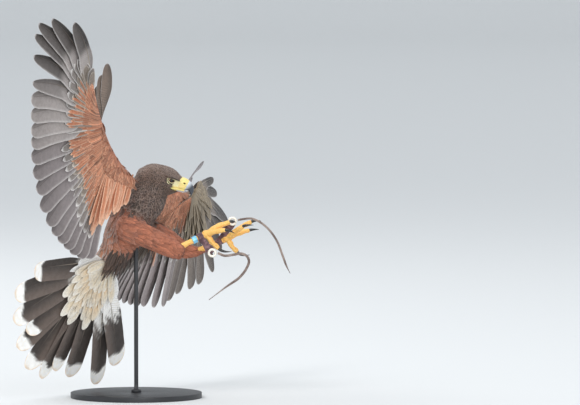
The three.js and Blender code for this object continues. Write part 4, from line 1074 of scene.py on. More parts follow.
def bowed(feathers, length, hand, back=0.0, lift=0.0, follows=None):
    """The lines of feathers that bow forward and down: by sweep and rise times
    length t (length t / follows - 1), from roots moved back along the lie and lifted off the wing."""
    lie, normal = feathers["lie"], feathers["normal"]
    across = np.cross(normal, lie) * hand
    along = np.asarray(length, float)[:, None]
    pull = across * feathers["sweep"].reshape(-1, 1) + normal * feathers["rise"].reshape(-1, 1)
    follows = along if follows is None else np.asarray(follows, float)[:, None]
    root = feathers["root"] + normal * np.reshape(lift, (-1, 1)) - lie * np.reshape(back, (-1, 1))
    return root, lie * along - pull * along, pull * along ** 2 / follows


def strip_map(place, columns, corner, size):
    """Each large feather has a strip of its own in a square of the baking map."""
    count = place.shape[0]
    column = (np.arange(count) % columns)[:, None, None]
    row = (np.arange(count) // columns)[:, None, None]
    levels = math.ceil(count / columns)
    x = (column + 0.5 + place[..., 1] * 0.46) / columns
    y = (row + 0.02 + place[..., 0] * 0.96) / levels
    return np.stack([corner[0] + x * size, corner[1] + y * size], -1)


def flight_tint(place, number, above, tones_with_painted_light):
    """Beyond the coverts the outer primaries are dark. The rest is grey, a little darker to the tip, with
    painted shadow on the hidden vane where its neighbour lies over it, and a thin pale rim that is partly
    the feather's own pale edge and partly a painted highlight."""
    t, u = place[..., 0], place[..., 1]
    outer = ease(6.0, 4.0, number)[:, None, None]
    arm = ease(8.5, 10.5, number)[:, None, None, None]
    base = blend(PRIMARY_GREY * np.asarray(tones_with_painted_light[0]), SECONDARY_GREY * np.asarray(tones_with_painted_light[1]), arm)
    dark = blend(ease(0.5, 1.0, t) * 0.3, ease(0.52, 0.64, t) * blend(1.0, 0.82, ease(-0.3, 0.8, u)), outer)
    colour = blend(base, TIP_DARK, dark[..., None])
    # Painted shadow: each feather darkens towards the vane that its neighbour lies over.
    colour = colour * (1 - 0.42 * ease(0.45, -0.7, u))[..., None]
    # The rim is partly the feather's own pale edge and partly a painted highlight along it.
    rim = np.maximum(ease(0.93, 0.98, u) * 0.85, ease(0.98, 1.0, t) * 0.6)
    rim = np.maximum(rim, ease(0.93, 0.99, -u) * 0.75)[..., None]
    colour = blend(colour, RIM_PALE_AND_HIGHLIGHT, rim)
    top = blend(UPPER_DARK, UPPER_DARK * 1.7, rim)
    return np.where(above[..., None], top, colour)


def upper_half(place, columns):
    """Which points of leaves are on the upper side: the first columns of each ring."""
    above = np.zeros(place.shape[:3], bool)
    above[:, :, :columns] = True
    return above


def covert_row(wing, number, share, lift, wide, back, jitter, kind):
    """A tier of coverts that follow the bow of the flight feathers under them, each laid over the next."""
    feathers = at_number(wing["feathers"], number)
    full = feathers["length"][:, 0]
    length = full * share * rng.uniform(1 - jitter, 1 + jitter, len(number)) + back
    root, reach, bend = bowed(feathers, length, wing["hand"], back, lift, full)
    _, _, at_map = nearest_skin(feathers["root"])
    return leaves(root, reach, bend, unit(feathers["lie"] + rng.normal(0, 0.015, root.shape)),
                  feathers["normal"], wide * 0.45, wide * 0.55, kind, 14, 6, hand=wing["hand"],
                  roll=SHINGLE + rng.normal(0, 2, len(number)), thick=0.45, camber=0.12, ragged=0.05,
                  skin_at=at_map)


GREATER = {"centre": shade("857c76"), "edge": shade("e6e1dd")}
MIDDLE = {"centre": shade("85786c"), "edge": shade("c9bdb0")}
LESSER = {"centre": shade("b57353"), "edge": shade("deb092")}
UPPER = {"centre": shade("463a33"), "edge": shade("85705f")}
UPPER_SMALL = {"centre": shade("6b4030"), "edge": shade("94624a")}
# How far coverts reach along the flight feathers under them, by number, as a share of the feather's length.
GREATER_REACH = {0: 0.3, 2: 0.44, 4: 0.52, 7: 0.56, 10: 0.58, 13: 0.56, 16: 0.6, 18: 0.7, 20: 0.78}
LESSER_REACH = {0: 0.08, 3: 0.27, 5: 0.41, 7: 0.48, 9: 0.52, 10: 0.49, 13: 0.4, 16: 0.39, 18: 0.48,
                20: 0.57}
UPPER_REACH = {0: 0.38, 20: 0.38}
TIERS = (
    # spacing, reach and how much of it, lift, width, jitter, form and colours of each row
    (0.9, GREATER_REACH, 1.0, -4.6, 15, 0.03, "shield", GREATER),
    (0.7, GREATER_REACH, 0.8, -5.7, 14, 0.08, "shield", MIDDLE),
    (0.34, LESSER_REACH, 1.0, -6.8, 10, 0.1, "covert", LESSER),
    (0.32, LESSER_REACH, 0.82, -7.2, 10, 0.14, "covert", LESSER),
    (0.3, LESSER_REACH, 0.62, -8.2, 9.5, 0.16, "covert", LESSER),
    (0.28, LESSER_REACH, 0.42, -9.2, 9, 0.16, "covert", LESSER),
    (0.5, UPPER_REACH, 1.0, 3.8, 19, 0.05, "shield", UPPER),
    (0.4, UPPER_REACH, 0.6, 5.8, 15, 0.08, "covert", UPPER_SMALL),
)
LINING_TIERS = (
    # the same for the lining of the left hand, which is grey-brown like its flight feathers: partly its own
    # colour, and partly painted shade that makes it darker and browner than the right hand's grey coverts
    (1.25, GREATER_REACH, 1.0, -4.0, 25, 0.03, "shield", GREATER),
    (1.2, GREATER_REACH, 0.78, -5.4, 25, 0.05, "shield", GREATER),
    (1.15, GREATER_REACH, 0.56, -6.8, 23, 0.06, "shield", GREATER),
    (1.0, GREATER_REACH, 0.36, -8.2, 20, 0.08, "shield", GREATER),
) + TIERS[-2:]
COVERT_SPANS = {"hand": (0.1, 9.6), "arm": (9.7, 20.3)}
# Widths before and behind the shaft, and the shaft's radius, of the outer primaries and of the rest.
OUTER_PRIMARIES = 6
VANE_LEAD, VANE_TRAIL = (11, 14), (28, 27)
SHAFT_RADIUS = (1.5, 1.25)
BROAD_LINING = 1.4  # how much broader the large coverts of the right hand are
ALULA_FEATHERS = 3
ALULA_STACK = 2.2  # how far each stands off the next
AXILLARS = 24

for side, wing in WINGS.items():
    feathers = wing["feathers"]
    number = np.arange(WING_FEATHERS)
    outer = number < OUTER_PRIMARIES
    slim = np.where(number < 2, np.array(wing["slim"])[np.minimum(number, 1)], 1.0)
    lead, trail = (np.where(outer, *widths) * slim for widths in (VANE_LEAD, VANE_TRAIL))
    root, reach, bend = bowed(feathers, feathers["length"] + ROOT_SUNK, wing["hand"], ROOT_SUNK)
    for part, mine in (("hand", number < PRIMARIES), ("arm", number >= PRIMARIES)):
        sets, tints = [], []
        for kind, group, corner in (("finger", mine & outer, (0.0, 0.0)),
                                    ("broad", mine & ~outer, (0.5, 0.0))):
            if group.any():
                made = leaves(root[group], reach[group], bend[group], feathers["lie"][group],
                              feathers["normal"][group], lead[group], trail[group], kind, 40, 11,
                              hand=wing["hand"], roll=feathers["roll"][group], thick=0.7, camber=0.06,
                              ragged=0.02)
                tints.append(flight_tint(made["place"], number[group], upper_half(made["place"], 11),
                                         wing["tones_with_painted_light"]).reshape(-1, 3))
                made["bake"] = strip_map(made["place"], 6, corner, 0.48)
                sets.append(made)
        leaf_piece(f"vanes_{part}_{side}", together(sets), flight_material,
                   np.concatenate(tints), [f"wing_{part}_{side}"])
        rods = shafts(root[mine], reach[mine], bend[mine], feathers["normal"][mine],
                      np.where(outer, *SHAFT_RADIUS)[mine])
        make_piece(f"shafts_{part}_{side}", rods["points"], rods["faces"], shaft_material,
                   place=rods["place"])
        sets, tints = [], []
        grey_lining = part == "hand" and side == "L"
        broad = BROAD_LINING if part == "hand" and side == "R" else 1.0
        tiers = LINING_TIERS if grey_lining else TIERS
        for step, reach_keys, portion, lift, wide, jitter, form, colours in tiers:
            row = np.arange(*COVERT_SPANS[part], step)
            share = np.interp(row, list(reach_keys), list(reach_keys.values())) * portion
            if colours is LESSER:
                share = share * wing["lesser"]
            if form == "shield" and lift < 0:
                wide = wide * broad
            made = covert_row(wing, row, share, lift, wide, 2 if part == "hand" else 4, jitter, form)
            light = rng.normal(1, 0.05 + jitter, (len(row), 1))
            if lift < 0 and grey_lining:
                colours = {"centre": wing["lining"], "edge": wing["lining"] * 1.9}
            sets.append(made)
            tints.append(leaf_tint(made["place"], colours["centre"] * light, colours["edge"] * light,
                                   tip=0.08, streak=0.25, rim=0.78).reshape(-1, 3))
        leaf_piece(f"coverts_{part}_{side}", together(sets), coat_material,
                   np.concatenate(tints))

    # The alula: three stiff feathers on the thumb, spread along the front of the hand.
    thumb = wing["alula"]
    towards, above = unit(thumb["towards"]), unit(thumb["upper"])
    hand_lie = feathers["lie"][7]
    order = np.arange(ALULA_FEATHERS)[:, None]
    thumb_root = blend(wing["wrist"], wing["digit"], 0.16) - hand_lie * 13 + wing["upper"] * thumb["lift"]
    root = thumb_root + above * ALULA_STACK * order - towards * 2 * order
    lie_now = unit(towards + hand_lie * 0.15 * order)
    stack = {"root": root, "lie": lie_now, "normal": np.repeat(above[None], ALULA_FEATHERS, 0),
             "sweep": np.full(ALULA_FEATHERS, 0.25), "rise": np.zeros(ALULA_FEATHERS)}
    length = thumb["length"] * (1 - thumb["shrink"] * order[:, 0]) + 2 * order[:, 0]
    root, reach, bend = bowed(stack, length, wing["hand"])
    made = leaves(root, reach, bend, lie_now, stack["normal"], thumb["wide"] * 0.4, thumb["wide"] * 0.6,
                  thumb["kind"], 30, 9, hand=wing["hand"], thick=0.7, camber=0.08, ragged=0.02)
    tint = flight_tint(made["place"], np.array([7, 8, 8]), upper_half(made["place"], 9),
                       (thumb["tone"], thumb["tone"]))
    leaf_piece(f"vanes_alula_{side}", made, flight_material, tint, [f"alula_{side}"],
               strip_map(made["place"], 3, (0, 0), 1))

    # Axillars: long soft feathers that fill the corner between wing and flank.
    soft = wing["axillars"]
    count = AXILLARS
    share = np.linspace(0.05, 1.0, count)[:, None]
    back = rng.uniform(0, 22, count)
    root = (blend(wing["shoulder"], wing["elbow"], share)
            + wing["upper"] * (-6 - 5 * (1 - share) * rng.uniform(0.6, 1.2, share.shape)))
    lie_now = unit(unit(soft["towards"]) - wing["upper"] * 0.07 + rng.normal(0, 0.05, root.shape))
    length = blend(soft["from"], soft["to"], share[:, 0]) * rng.uniform(0.8, 1.05, count) + back
    root = root - lie_now * back[:, None]
    _, _, at_map = nearest_skin(root)
    made = leaves(root, lie_now * length[:, None], wing["upper"] * length[:, None] * 0.04, lie_now,
                  np.repeat(wing["upper"][None], count, 0), 6.5, 6.5, "covert", 16, 6, hand=wing["hand"],
                  roll=SHINGLE, thick=0.45, camber=0.12, ragged=0.08, skin_at=at_map)
    tone = rng.normal(1, 0.15, (count, 1))
    leaf_piece(f"axillars_{side}", made, coat_material,
               leaf_tint(made["place"], LESSER["centre"] * tone * 1.2, LESSER["edge"] * tone * 1.15,
                         streak=0.4))


# Tail: twelve broad feathers in a wide fan, white at the root, black-brown in the middle and white at the
# tip. Long buff, cream and white coverts lie over their roots below, and shorter ones above.
TAIL_FAN = np.array([
    # degrees from the middle towards the bird's left, length, and width of the outer vane
    (-61.7, 206, 14), (-50.4, 245, 17), (-36.1, 240, 18), (-23.1, 211, 16), (-19.6, 243, 18),
    (-5.2, 249, 18), (0.9, 232, 16), (7.2, 246, 18), (13.3, 222, 17), (24.1, 227, 29), (42.1, 247, 22),
    (53.9, 219, 25)])
TAIL_FEATHERS = len(TAIL_FAN)
TAIL_HALF_ROOT = 13
TAIL_TRAIL = 28  # the inner vane's width
TAIL_STACK = 2.6  # how far below the middle feather's plane the outer ones start
TAIL_DARK = shade("38302b")
TAIL_WHITE = shade("fcfaf5")
TAIL_RIM = shade("e3c39b")
under = unit(np.cross(TAIL["along"], TAIL["left"]))


def pointing(angle):
    """Directions at angles in degrees from the tail's middle towards the bird's left. The fan is cupped:
    its sides bend down by the square of the angle."""
    turn = np.radians(np.asarray(angle, float))[:, None]
    return unit(TAIL["along"] * np.cos(turn) + TAIL["left"] * np.sin(turn) + under * TAIL["cup"] * turn ** 2)


def across_root(places):
    """Points across the tail's root, from -1 at its right to 1 at its left."""
    return TAIL["root"] + TAIL["left"] * TAIL_HALF_ROOT * places[:, None]


def tail_row(spread_over, lie, length, out, lead, trail, kind, rows, columns, hand, roll, thick, sweep=0.0,
             back=0.0, **more):
    """Feathers side by side at places across the tail's root, and the lines of their shafts."""
    root = across_root(spread_over) + under * out[:, None] - TAIL["along"] * back
    count = len(root)
    stack = {"root": root, "lie": lie, "normal": np.repeat(-under[None], count, 0),
             "sweep": np.full(count, sweep), "rise": np.zeros(count)}
    root, reach, bend = bowed(stack, length, np.broadcast_to(hand, count)[:, None])
    made = leaves(root, reach, bend, lie, stack["normal"], lead, trail, kind, rows, columns, hand=hand,
                  roll=roll, thick=thick, **more)
    return made, (root, reach, bend, stack["normal"])


order = np.arange(TAIL_FEATHERS)
across_tail = 2 * order / (TAIL_FEATHERS - 1) - 1
on_top = order == TAIL_FEATHERS // 2
made, lines = tail_row(
    across_tail, pointing(TAIL_FAN[:, 0]), TAIL_FAN[:, 1],
    np.where(on_top, -3, TAIL_STACK * np.abs(across_tail)), TAIL_FAN[:, 2], TAIL_TRAIL, "rounded", 44, 13,
    np.where(across_tail > 0, 1, -1), np.where(on_top, 0, 6), 0.8, sweep=0.02, camber=0.05, ragged=0.02)
t, u = made["place"][..., 0], made["place"][..., 1]
uneven = 0.012 * np.sin(u * 4 + order[:, None, None] * 1.7)
white_root = blend(0.3, 0.5, ease(0.1, 0.9, across_tail))[:, None, None]
speckle = 0.05 * np.sin(u * 9 + t * 60 + order[:, None, None]) * ease(0.3, 0.9, across_tail)[:, None, None]
dark_share = (ease(-0.03, 0.06, t - white_root + uneven * 3 + speckle)
              * ease(0.905, 0.885, t + uneven + 0.03 * u ** 2))[..., None]
white = blend(TAIL_WHITE, TAIL_RIM, (np.maximum(ease(0.965, 1.0, t), ease(0.8, 1.0, np.abs(u))
                                               * ease(0.9, 0.94, t)) * 0.75)[..., None])
# The black-brown is painted lighter grey on each feather's trailing vane and along its edges: a painted
# sheen.
dark = TAIL_DARK * (1 + 2.4 * ease(-0.1, 0.9, u) + 0.8 * ease(0.93, 1, np.abs(u)))[..., None]
leaf_piece("vanes_tail", made, flight_material, blend(white, dark, dark_share), ["tail"],
           strip_map(made["place"], 6, (0, 0), 1))
rods = shafts(*lines, np.full(TAIL_FEATHERS, 1.3), until=0.86)
make_piece("shafts_tail", rods["points"], rods["faces"], shaft_material,
           place=rods["place"])

COVERT_BUFF = {"centre": shade("edd2ac"), "edge": shade("f4e6cf")}
COVERT_CREAM = {"centre": shade("f2e2c6"), "edge": shade("faf3e6")}
COVERT_WHITE = {"centre": shade("f3f0ea"), "edge": shade("fdfcfa")}
COVERT_BROWN = {"centre": shade("4a3a32"), "edge": shade("8d7058")}
TAIL_TIERS = (
    # count, first and last angle, length, distance from the tail's plane, width, form, colours
    (11, -60, 58, 108, 7, 28, "covert", COVERT_WHITE),
    (8, -24, 22, 142, 9, 27, "shield", COVERT_CREAM),
    (10, -34, 28, 122, 10.5, 23, "covert", COVERT_BUFF),
    (12, -46, 38, 102, 12, 20, "covert", COVERT_CREAM),
    (13, -38, 32, 84, 13.5, 18, "covert", COVERT_BUFF),
    (15, -50, 42, 60, 15, 16, "covert", COVERT_CREAM),
    (13, -46, 46, 96, -6, 17, "covert", COVERT_WHITE),
    (13, -44, 44, 74, -8, 15, "covert", COVERT_WHITE),
    (11, -40, 40, 50, -10, 13, "covert", COVERT_BROWN),
)
sets, tints = [], []
for count, first, last, length, out, wide, form, colours in TAIL_TIERS:
    places = np.linspace(-1, 1, count)
    turned = np.linspace(first, last, count) + rng.normal(0, 3.0, count)
    lengths = length * (1 - 0.15 * np.abs(places)) * rng.uniform(0.82, 1.05, count)
    made, _ = tail_row(places, pointing(turned), lengths, np.full(count, out) + rng.normal(0, 0.5, count),
                       wide / 2, wide / 2, form, 18, 8, 1, 4, 0.35, back=4, camber=0.14,
                       ragged=0.1, skin_at=nearest_skin(across_root(places))[2])
    light = rng.normal(1, 0.05, (count, 1))
    sets.append(made)
    tints.append(leaf_tint(made["place"], colours["centre"] * light, colours["edge"] * light,
                           streak=0.1).reshape(-1, 3))
leaf_piece("coverts_tail", together(sets), coat_material, np.concatenate(tints))


# Bill: horn, blue-grey at the base and near black at the hooked tip, polished, with faint growth lines. The
# upper half's cutting edge is sharp and overlaps the lower half.
MOUTH = {"forward": (26, 38, 48, 54, 58, 62), "up": (-6.6, -6.2, -5.6, -7.4, -12, -18)}
UPPER_BILL = {"side": HEAD_LEFT, "stations": head_stations([
    (30, 0, 5, 9.5, 12), (42, 0, 5.5, 8.6, 12), (51, 0, 4.5, 6.4, 9.8), (58, 0, 0.5, 4.3, 6.3),
    (61, 0, -5.5, 2.8, 3.4), (62.3, 0, -11, 0.9, 1)])}
LOWER_BILL = {"side": HEAD_LEFT, "stations": head_stations([
    (26, 0, -8, 8.4, 3.4), (42, 0, -7.2, 6.8, 3), (54, 0, -5.6, 3.6, 2)])}
HORN_BASE = shade("d2d8dd")
HORN_TIP = shade("2b2f38")


def mouth_line(forward):
    """How far up the mouth is at distances forward."""
    return np.interp(forward, MOUTH["forward"], MOUTH["up"])


CERE_EDGE = 49  # how far forward the cere reaches at the mouth's height; further up it reaches further
CERE_SLANT = math.tan(math.radians(13))
horn = Finish("bill_horn", Coat_Weight=0.35, Coat_Roughness=0.12)
horn_lines = horn.noise(2600, 2, horn.node("VectorMath", {"operation": "MULTIPLY"},
                                           {0: horn.objects(), 1: (1, 0.15, 0.15)}))
horn.wear(
    Base_Color=horn.mix(horn.step(horn_lines, 0.35, 0.7, 0.0, 0.22), horn.stored("tint", "Color"),
                        ink("6f7886")),
    Roughness=horn.step(horn.noise(500, 3), 0.3, 0.7, 0.26, 0.4),
    Normal=horn.bump(horn_lines, 0.2, 0.0002),
)
for name, part, above in (("bill_upper", UPPER_BILL, True), ("bill_lower", LOWER_BILL, False)):
    shape = flesh(part, 0.0, rows=70, around=48)
    forward, left, up = head_place(shape)
    if above:  # drawn in where the cere lies over it
        hidden = ease(CERE_EDGE - 1.5, CERE_EDGE - 4, forward - CERE_SLANT * up)
        shape = shape - unit(shape - shape.mean(axis=1, keepdims=True)) * (3.0 * hidden)[..., None]
        forward, left, up = head_place(shape)
    edge = mouth_line(forward)
    up = np.maximum(up, edge) if above else np.minimum(up, edge + 0.4)
    tip = ease(47, 60, forward - 0.6 * (up - 4)) if above else ease(44, 55, forward)
    colour = blend(HORN_BASE, HORN_TIP, tip[..., None] ** 1.3)
    tube_piece(f"{name}_horn", on_head(forward, left, up), horn.material, [name], tint=colour)

# Cere: bare waxy yellow skin over the root of the upper bill, swollen round the nostrils, with a slanted
# edge.
NOSTRIL = (44.3, 7.6)
NOSTRIL_SIZE = (2.4, 1.5)
NOSTRIL_DEPTH = 2.2
cere_skin = Finish("cere_skin", Subsurface_Weight=0.15, Subsurface_Scale=0.002)
cere_spots = cere_skin.noise(700, 4)
cere_skin.wear(
    Base_Color=cere_skin.mix(cere_skin.step(cere_spots, 0.4, 0.75, 0.0, 0.18),
                             cere_skin.stored("tint", "Color"), ink("c98f2c")),
    Roughness=cere_skin.step(cere_spots, 0.3, 0.7, 0.36, 0.55),
    Normal=cere_skin.bump(cere_spots, 0.15, 0.0002),
)
CERE_YELLOW = shade("efdb8c")
shape = flesh(UPPER_BILL, -0.45, rows=160, around=96)
forward, left, up = head_place(shape)
reach = forward - CERE_SLANT * up
rows = np.linspace(0, 1, 70)
columns = []
for k in range(shape.shape[1]):
    last = int(np.argmax(reach[:, k] > CERE_EDGE))
    share = np.interp(CERE_EDGE, reach[last - 1:last + 1, k], (last - 1, last))
    columns.append(curve(shape[:, k], rows * share / (shape.shape[0] - 1)))
shape = np.stack(columns, 1)
forward, left, up = head_place(shape)
reach = forward - CERE_SLANT * up
middle = shape.mean(axis=1, keepdims=True)
outward = unit(shape - middle)
nostril = np.hypot((forward - NOSTRIL[0]) / NOSTRIL_SIZE[0], (up - NOSTRIL[1]) / NOSTRIL_SIZE[1])
swelling = 0.5 * np.exp(-((nostril - 1.6) / 0.7) ** 2) - NOSTRIL_DEPTH * ease(1.15, 0.6, nostril)
thin = -0.55 * ease(CERE_EDGE - 2.2, CERE_EDGE, reach)
shape = shape + outward * (swelling + thin)[..., None]
edge = mouth_line(forward) - 0.35
forward, left, up = head_place(shape)
shape = on_head(forward, left, np.maximum(up, edge))
# The nostril pits are painted near black: painted shade in the hollow.
colour = blend(CERE_YELLOW, shade("2a1c10"), ease(1.1, 0.75, nostril)[..., None])
colour = blend(colour, LORES, 0.85 * ease(41, 31, forward + up * 0.3)[..., None])
tube_piece("cere_wax", shape, cere_skin.material, ["cere"], tint=colour)

# Gape: a soft yellow lip along the mouth on each side, above and below the gap.
GAPE = {"forward": np.array((21, 26, 33, 40, 47)), "out": np.array((18.3, 16.2, 12.3, 8.6, 6.0)),
        "up": np.array((-7.1, -6.8, -6.4, -6.1, -5.8)), "apart": np.array((0.2, 1, 1, 1, 0.9))}
HALF_GAP = 0.7
LIP_RADIUS = 1.4
share = np.linspace(0, 1, 40)
thick = LIP_RADIUS * np.sqrt(np.maximum(ease(-0.05, 0.45, share), 0.03)) * blend(1, 0.8, share)
for side, hand in HANDS.items():
    lips = []
    for lift in (HALF_GAP, -HALF_GAP):
        line = on_head(GAPE["forward"], hand * GAPE["out"], GAPE["up"] + lift * GAPE["apart"])
        lips.append(rings(curve(line, share), HEAD_UP, thick * 0.75, thick, 12))
    points, faces = merged(lips)
    make_piece(f"gape_{side}", points, faces, cere_skin.material,
               tint=np.broadcast_to(CERE_YELLOW, points.shape))

# Eyes: wet and glossy, dark brown round a black pupil, each in a ring of cream lids under the brow.
LID = {"radius": 5.9, "high": 0.8, "section": 0.7, "clear": 0.25}
EYE_ROWS, LID_ROWS, LID_SIDES = 48, 60, 12
eye_finish = Finish("eye_wet", Coat_Weight=0.5, Coat_Roughness=0.02, Roughness=0.25, Specular_IOR_Level=0.2)
from_pupil = eye_finish.split(eye_finish.stored("place"))
iris_rays = eye_finish.noise(9, 3, eye_finish.stored("place"))
iris = eye_finish.mix(eye_finish.step(iris_rays, 0.35, 0.65), ink("2c1509"), ink("512a12"))
iris = eye_finish.mix(eye_finish.step(from_pupil, 0.5, 0.62), iris, ink("1a0e08"))
eye_finish.wear(Base_Color=eye_finish.mix(eye_finish.step(from_pupil, 0.33, 0.37), ink("040303"), iris))


def loop_faces(rows, around):
    """Quads between neighbouring rings where the last ring meets the first."""
    return [tube_faces(rows + 1, around)[0] % (rows * around)]


lid_finish = Finish("lid_skin", Roughness=0.5, Subsurface_Weight=0.1, Subsurface_Scale=0.001)
lid_folds = lid_finish.noise(1500, 3)
lid_finish.wear(Base_Color=lid_finish.mix(lid_finish.step(lid_folds, 0.35, 0.7), ink("ece4bd"),
                                          ink("c9bd8a")),
                Normal=lid_finish.bump(lid_folds, 0.4, 0.0002))
for side, hand in HANDS.items():
    centre = on_head(EYE["forward"], hand * EYE["out"], EYE["up"])
    axis = unit(on_head(3, hand * 10, 0) - HEAD)
    ahead = unit(FACING - axis * (FACING @ axis))
    above = np.cross(axis, ahead) * -hand
    from_axis = np.linspace(0.002, math.pi - 0.002, EYE_ROWS)
    size = np.sin(from_axis) * EYE["radius"]
    ball = rings(centre + np.outer(np.cos(from_axis) * EYE["radius"], axis), ahead, size, size, EYE_ROWS)
    off = (ball - centre) / EYE["radius"]
    turned = np.arctan2(off @ above, off @ ahead) / math.pi
    values = np.stack([np.broadcast_to(from_axis[:, None], turned.shape), turned * 6, np.zeros_like(turned)],
                      -1)
    tube_piece(f"eyeball_{side}", ball, eye_finish.material, [f"eye_{side}"], place=values)
    angle = turns(LID_ROWS)
    almond = LID["radius"] * (1 + 0.14 * np.exp(-((np.cos(angle) - 1) / 0.25) ** 2))
    wide, high = almond * np.cos(angle), LID["radius"] * LID["high"] * np.sin(angle)
    out = np.sqrt(np.maximum((EYE["radius"] + LID["clear"]) ** 2 - wide ** 2 - high ** 2, 4))
    line = centre + np.outer(wide, ahead) + np.outer(high, above) + np.outer(out, axis)
    tangent = unit(np.roll(line, -1, 0) - np.roll(line, 1, 0))
    round_eye = unit(line - centre)
    across = unit(np.cross(tangent, round_eye))
    section = turns(LID_SIDES)
    thick = LID["section"] * (1 + 0.35 * ease(0.2, 1, np.sin(angle)))[:, None, None]
    lid = line[:, None] + thick * (across[:, None] * np.cos(section)[None, :, None]
                                   + round_eye[:, None] * 0.7 * np.sin(section)[None, :, None])
    make_piece(f"lids_{side}", lid, loop_faces(LID_ROWS, LID_SIDES), lid_finish.material)

# Brows: a bony ridge over each eye, under short dark feathers that lie back along it, bare and pale at its
# lower edge in front. It hides the top of the eye and gives it its frown.
BROW = {"forward": (2, 9, 17, 24, 30, 35), "out": (20.5, 22.8, 23.4, 20.6, 16.0, 11.5),
        "up": (13.2, 13.1, 12.2, 11.1, 10.3, 10.0), "high": (0.8, 2.0, 2.3, 2.2, 1.8, 0.6),
        "deep": (1.2, 3.2, 4.2, 4.0, 3.0, 1.0)}
BROW_ROWS, BROW_SIDES = 60, 28
BROW_FEATHERS = 150
for side, hand in HANDS.items():
    t = np.linspace(0, 1, BROW_ROWS)
    line = curve(on_head(np.array(BROW["forward"]), hand * np.array(BROW["out"]), np.array(BROW["up"])), t)
    ridge = rings(line, HEAD_UP, value_along(BROW["high"], t), value_along(BROW["deep"], t), BROW_SIDES)
    _, _, up = head_place(ridge)
    low = ease(-0.3, -1.3, up - up.mean(axis=1, keepdims=True)) * ease(0.35, 0.7, t)[:, None]
    tube_piece(f"brow_ridge_{side}", ridge, skin_finish.material,
               tint=blend(BISTRE * 0.9, LORES, 0.8 * low[..., None]))
    count = BROW_FEATHERS
    share = rng.uniform(0.05, 0.97, count)
    spot = np.stack([np.interp(share, t, line[:, k]) for k in range(3)], 1)
    turned = rng.uniform(-0.35, 1.3, count)
    out = HEAD_UP * np.sin(turned)[:, None] + HEAD_LEFT * hand * np.cos(turned)[:, None]
    size = np.stack([np.interp(share, t, value_along(BROW[label], t)) for label in ("high", "deep")], 1)
    root = (spot + HEAD_UP * (size[:, :1] * np.sin(turned)[:, None])
            + HEAD_LEFT * hand * (size[:, 1:] * np.cos(turned)[:, None]))
    back = unit(-FACING + HEAD_UP * 0.12 + rng.normal(0, 0.08, root.shape))
    length = rng.uniform(3.4, 5.2, count)[:, None]
    made = leaves(root, back * length, -out * 0.15 * length, back, out, 1.0, 1.0, "lancet", 5, 4, thick=0.25,
                  camber=0.25, ragged=0.2, skin_at=nearest_skin(root)[2])
    tone = rng.normal(1, 0.12, (count, 1))
    leaf_piece(f"coat_brow_{side}", made, coat_material,
               leaf_tint(made["place"], UMBER * 0.8 * tone, UMBER * 1.6 * tone, streak=0.15))


# Legs and feet: bare yellow skin in scutes, broad plates down the front of the tarsus and along the top of
# each toe, and small round scales elsewhere, with soft pads below.
LEGS = {
    "R": {"heel": (72, -48, 284), "sole": (133, -30, 313),
          "toes": (((178, -44, 337), 16, (0.3, 0.75, -0.5)), ((170, -55, 322), 16, (0.75, 0.2, -0.6)),
                   ((165, -2, 331), 15, (0.6, 0.2, -0.75)), ((157, -36, 286), 22, (1, 0, 0.25)))},
    "L": {"heel": (112, 30, 276), "sole": (172, 8, 303),
          "toes": (((219, -4, 335), 15, (0.95, 0, -0.3)), ((203, -24, 327), 18, (1, 0, -0.15)),
                   ((214, 26, 317), 15, (1, 0, -0.1)), ((192, 4, 277), 22, (1, 0, 0.3)))},
}
TARSUS_RADIUS = 5.0
SCUTE_PITCH = 3.1
SCUTE_HEIGHT = 0.45
PAD_HEIGHT = 1.5
PAD_PITCH = 6.5
LIMB_DOME = 2.5  # how near its ends a limb starts to close
SOLE_RADIUS = 7.8
SHANK_RADII = (6.6, 5.0, 4.9, 5.6)
TOE_RADII = (6.4, 4.9, 4.4, 5.0, 4.4, 4.1, 4.5, 3.9, 3.4)
TALON_WIDE, TALON_DEEP = (2.6, 2.3, 1.5, 0.3), (3.1, 2.8, 1.8, 0.3)
TALON_ROOT = 2.5  # how deep its root is sunk in the toe
TALON_TURN, TALON_CURL = 0.45, 0.78  # how much of its length it turns back and curls down
TALON_ROWS, TALON_SIDES = 40, 24
CLAW_BASE = shade("4d4640")
CLAW_TIP = shade("14120f")
LEG_YELLOW = shade("fdcc74")
LEG_ORANGE = shade("eb9f42")

leg_skin = Finish("leg_skin", Subsurface_Weight=0.1, Subsurface_Scale=0.002)
scales = leg_skin.cells(620.0)
leg_dirt = leg_skin.noise(160, 4)
between_scales = leg_skin.step(scales, 0.12, 0.02, 0.0, 0.35) * leg_skin.step(leg_dirt, 0.3, 0.7, 0.5, 1.0)
leg_skin.wear(
    Base_Color=leg_skin.mix(between_scales, leg_skin.stored("tint", "Color"), ink("a0661c")),
    Roughness=leg_skin.step(leg_dirt, 0.3, 0.7, 0.42, 0.6),
    Normal=leg_skin.bump(leg_skin.step(scales, 0.02, 0.22), 0.45, 0.0004),
)
claw_horn = Finish("claw_horn", Coat_Weight=0.4, Coat_Roughness=0.1)
claw_lines = claw_horn.noise(700, 3)
claw_horn.wear(Base_Color=claw_horn.mix(claw_horn.step(claw_lines, 0.4, 0.7, 0.0, 0.3),
                                        claw_horn.stored("tint", "Color"), ink("4a443f")),
               Roughness=claw_horn.step(claw_lines, 0.3, 0.7, 0.24, 0.42),
               Normal=claw_horn.bump(claw_lines, 0.2, 0.0002))


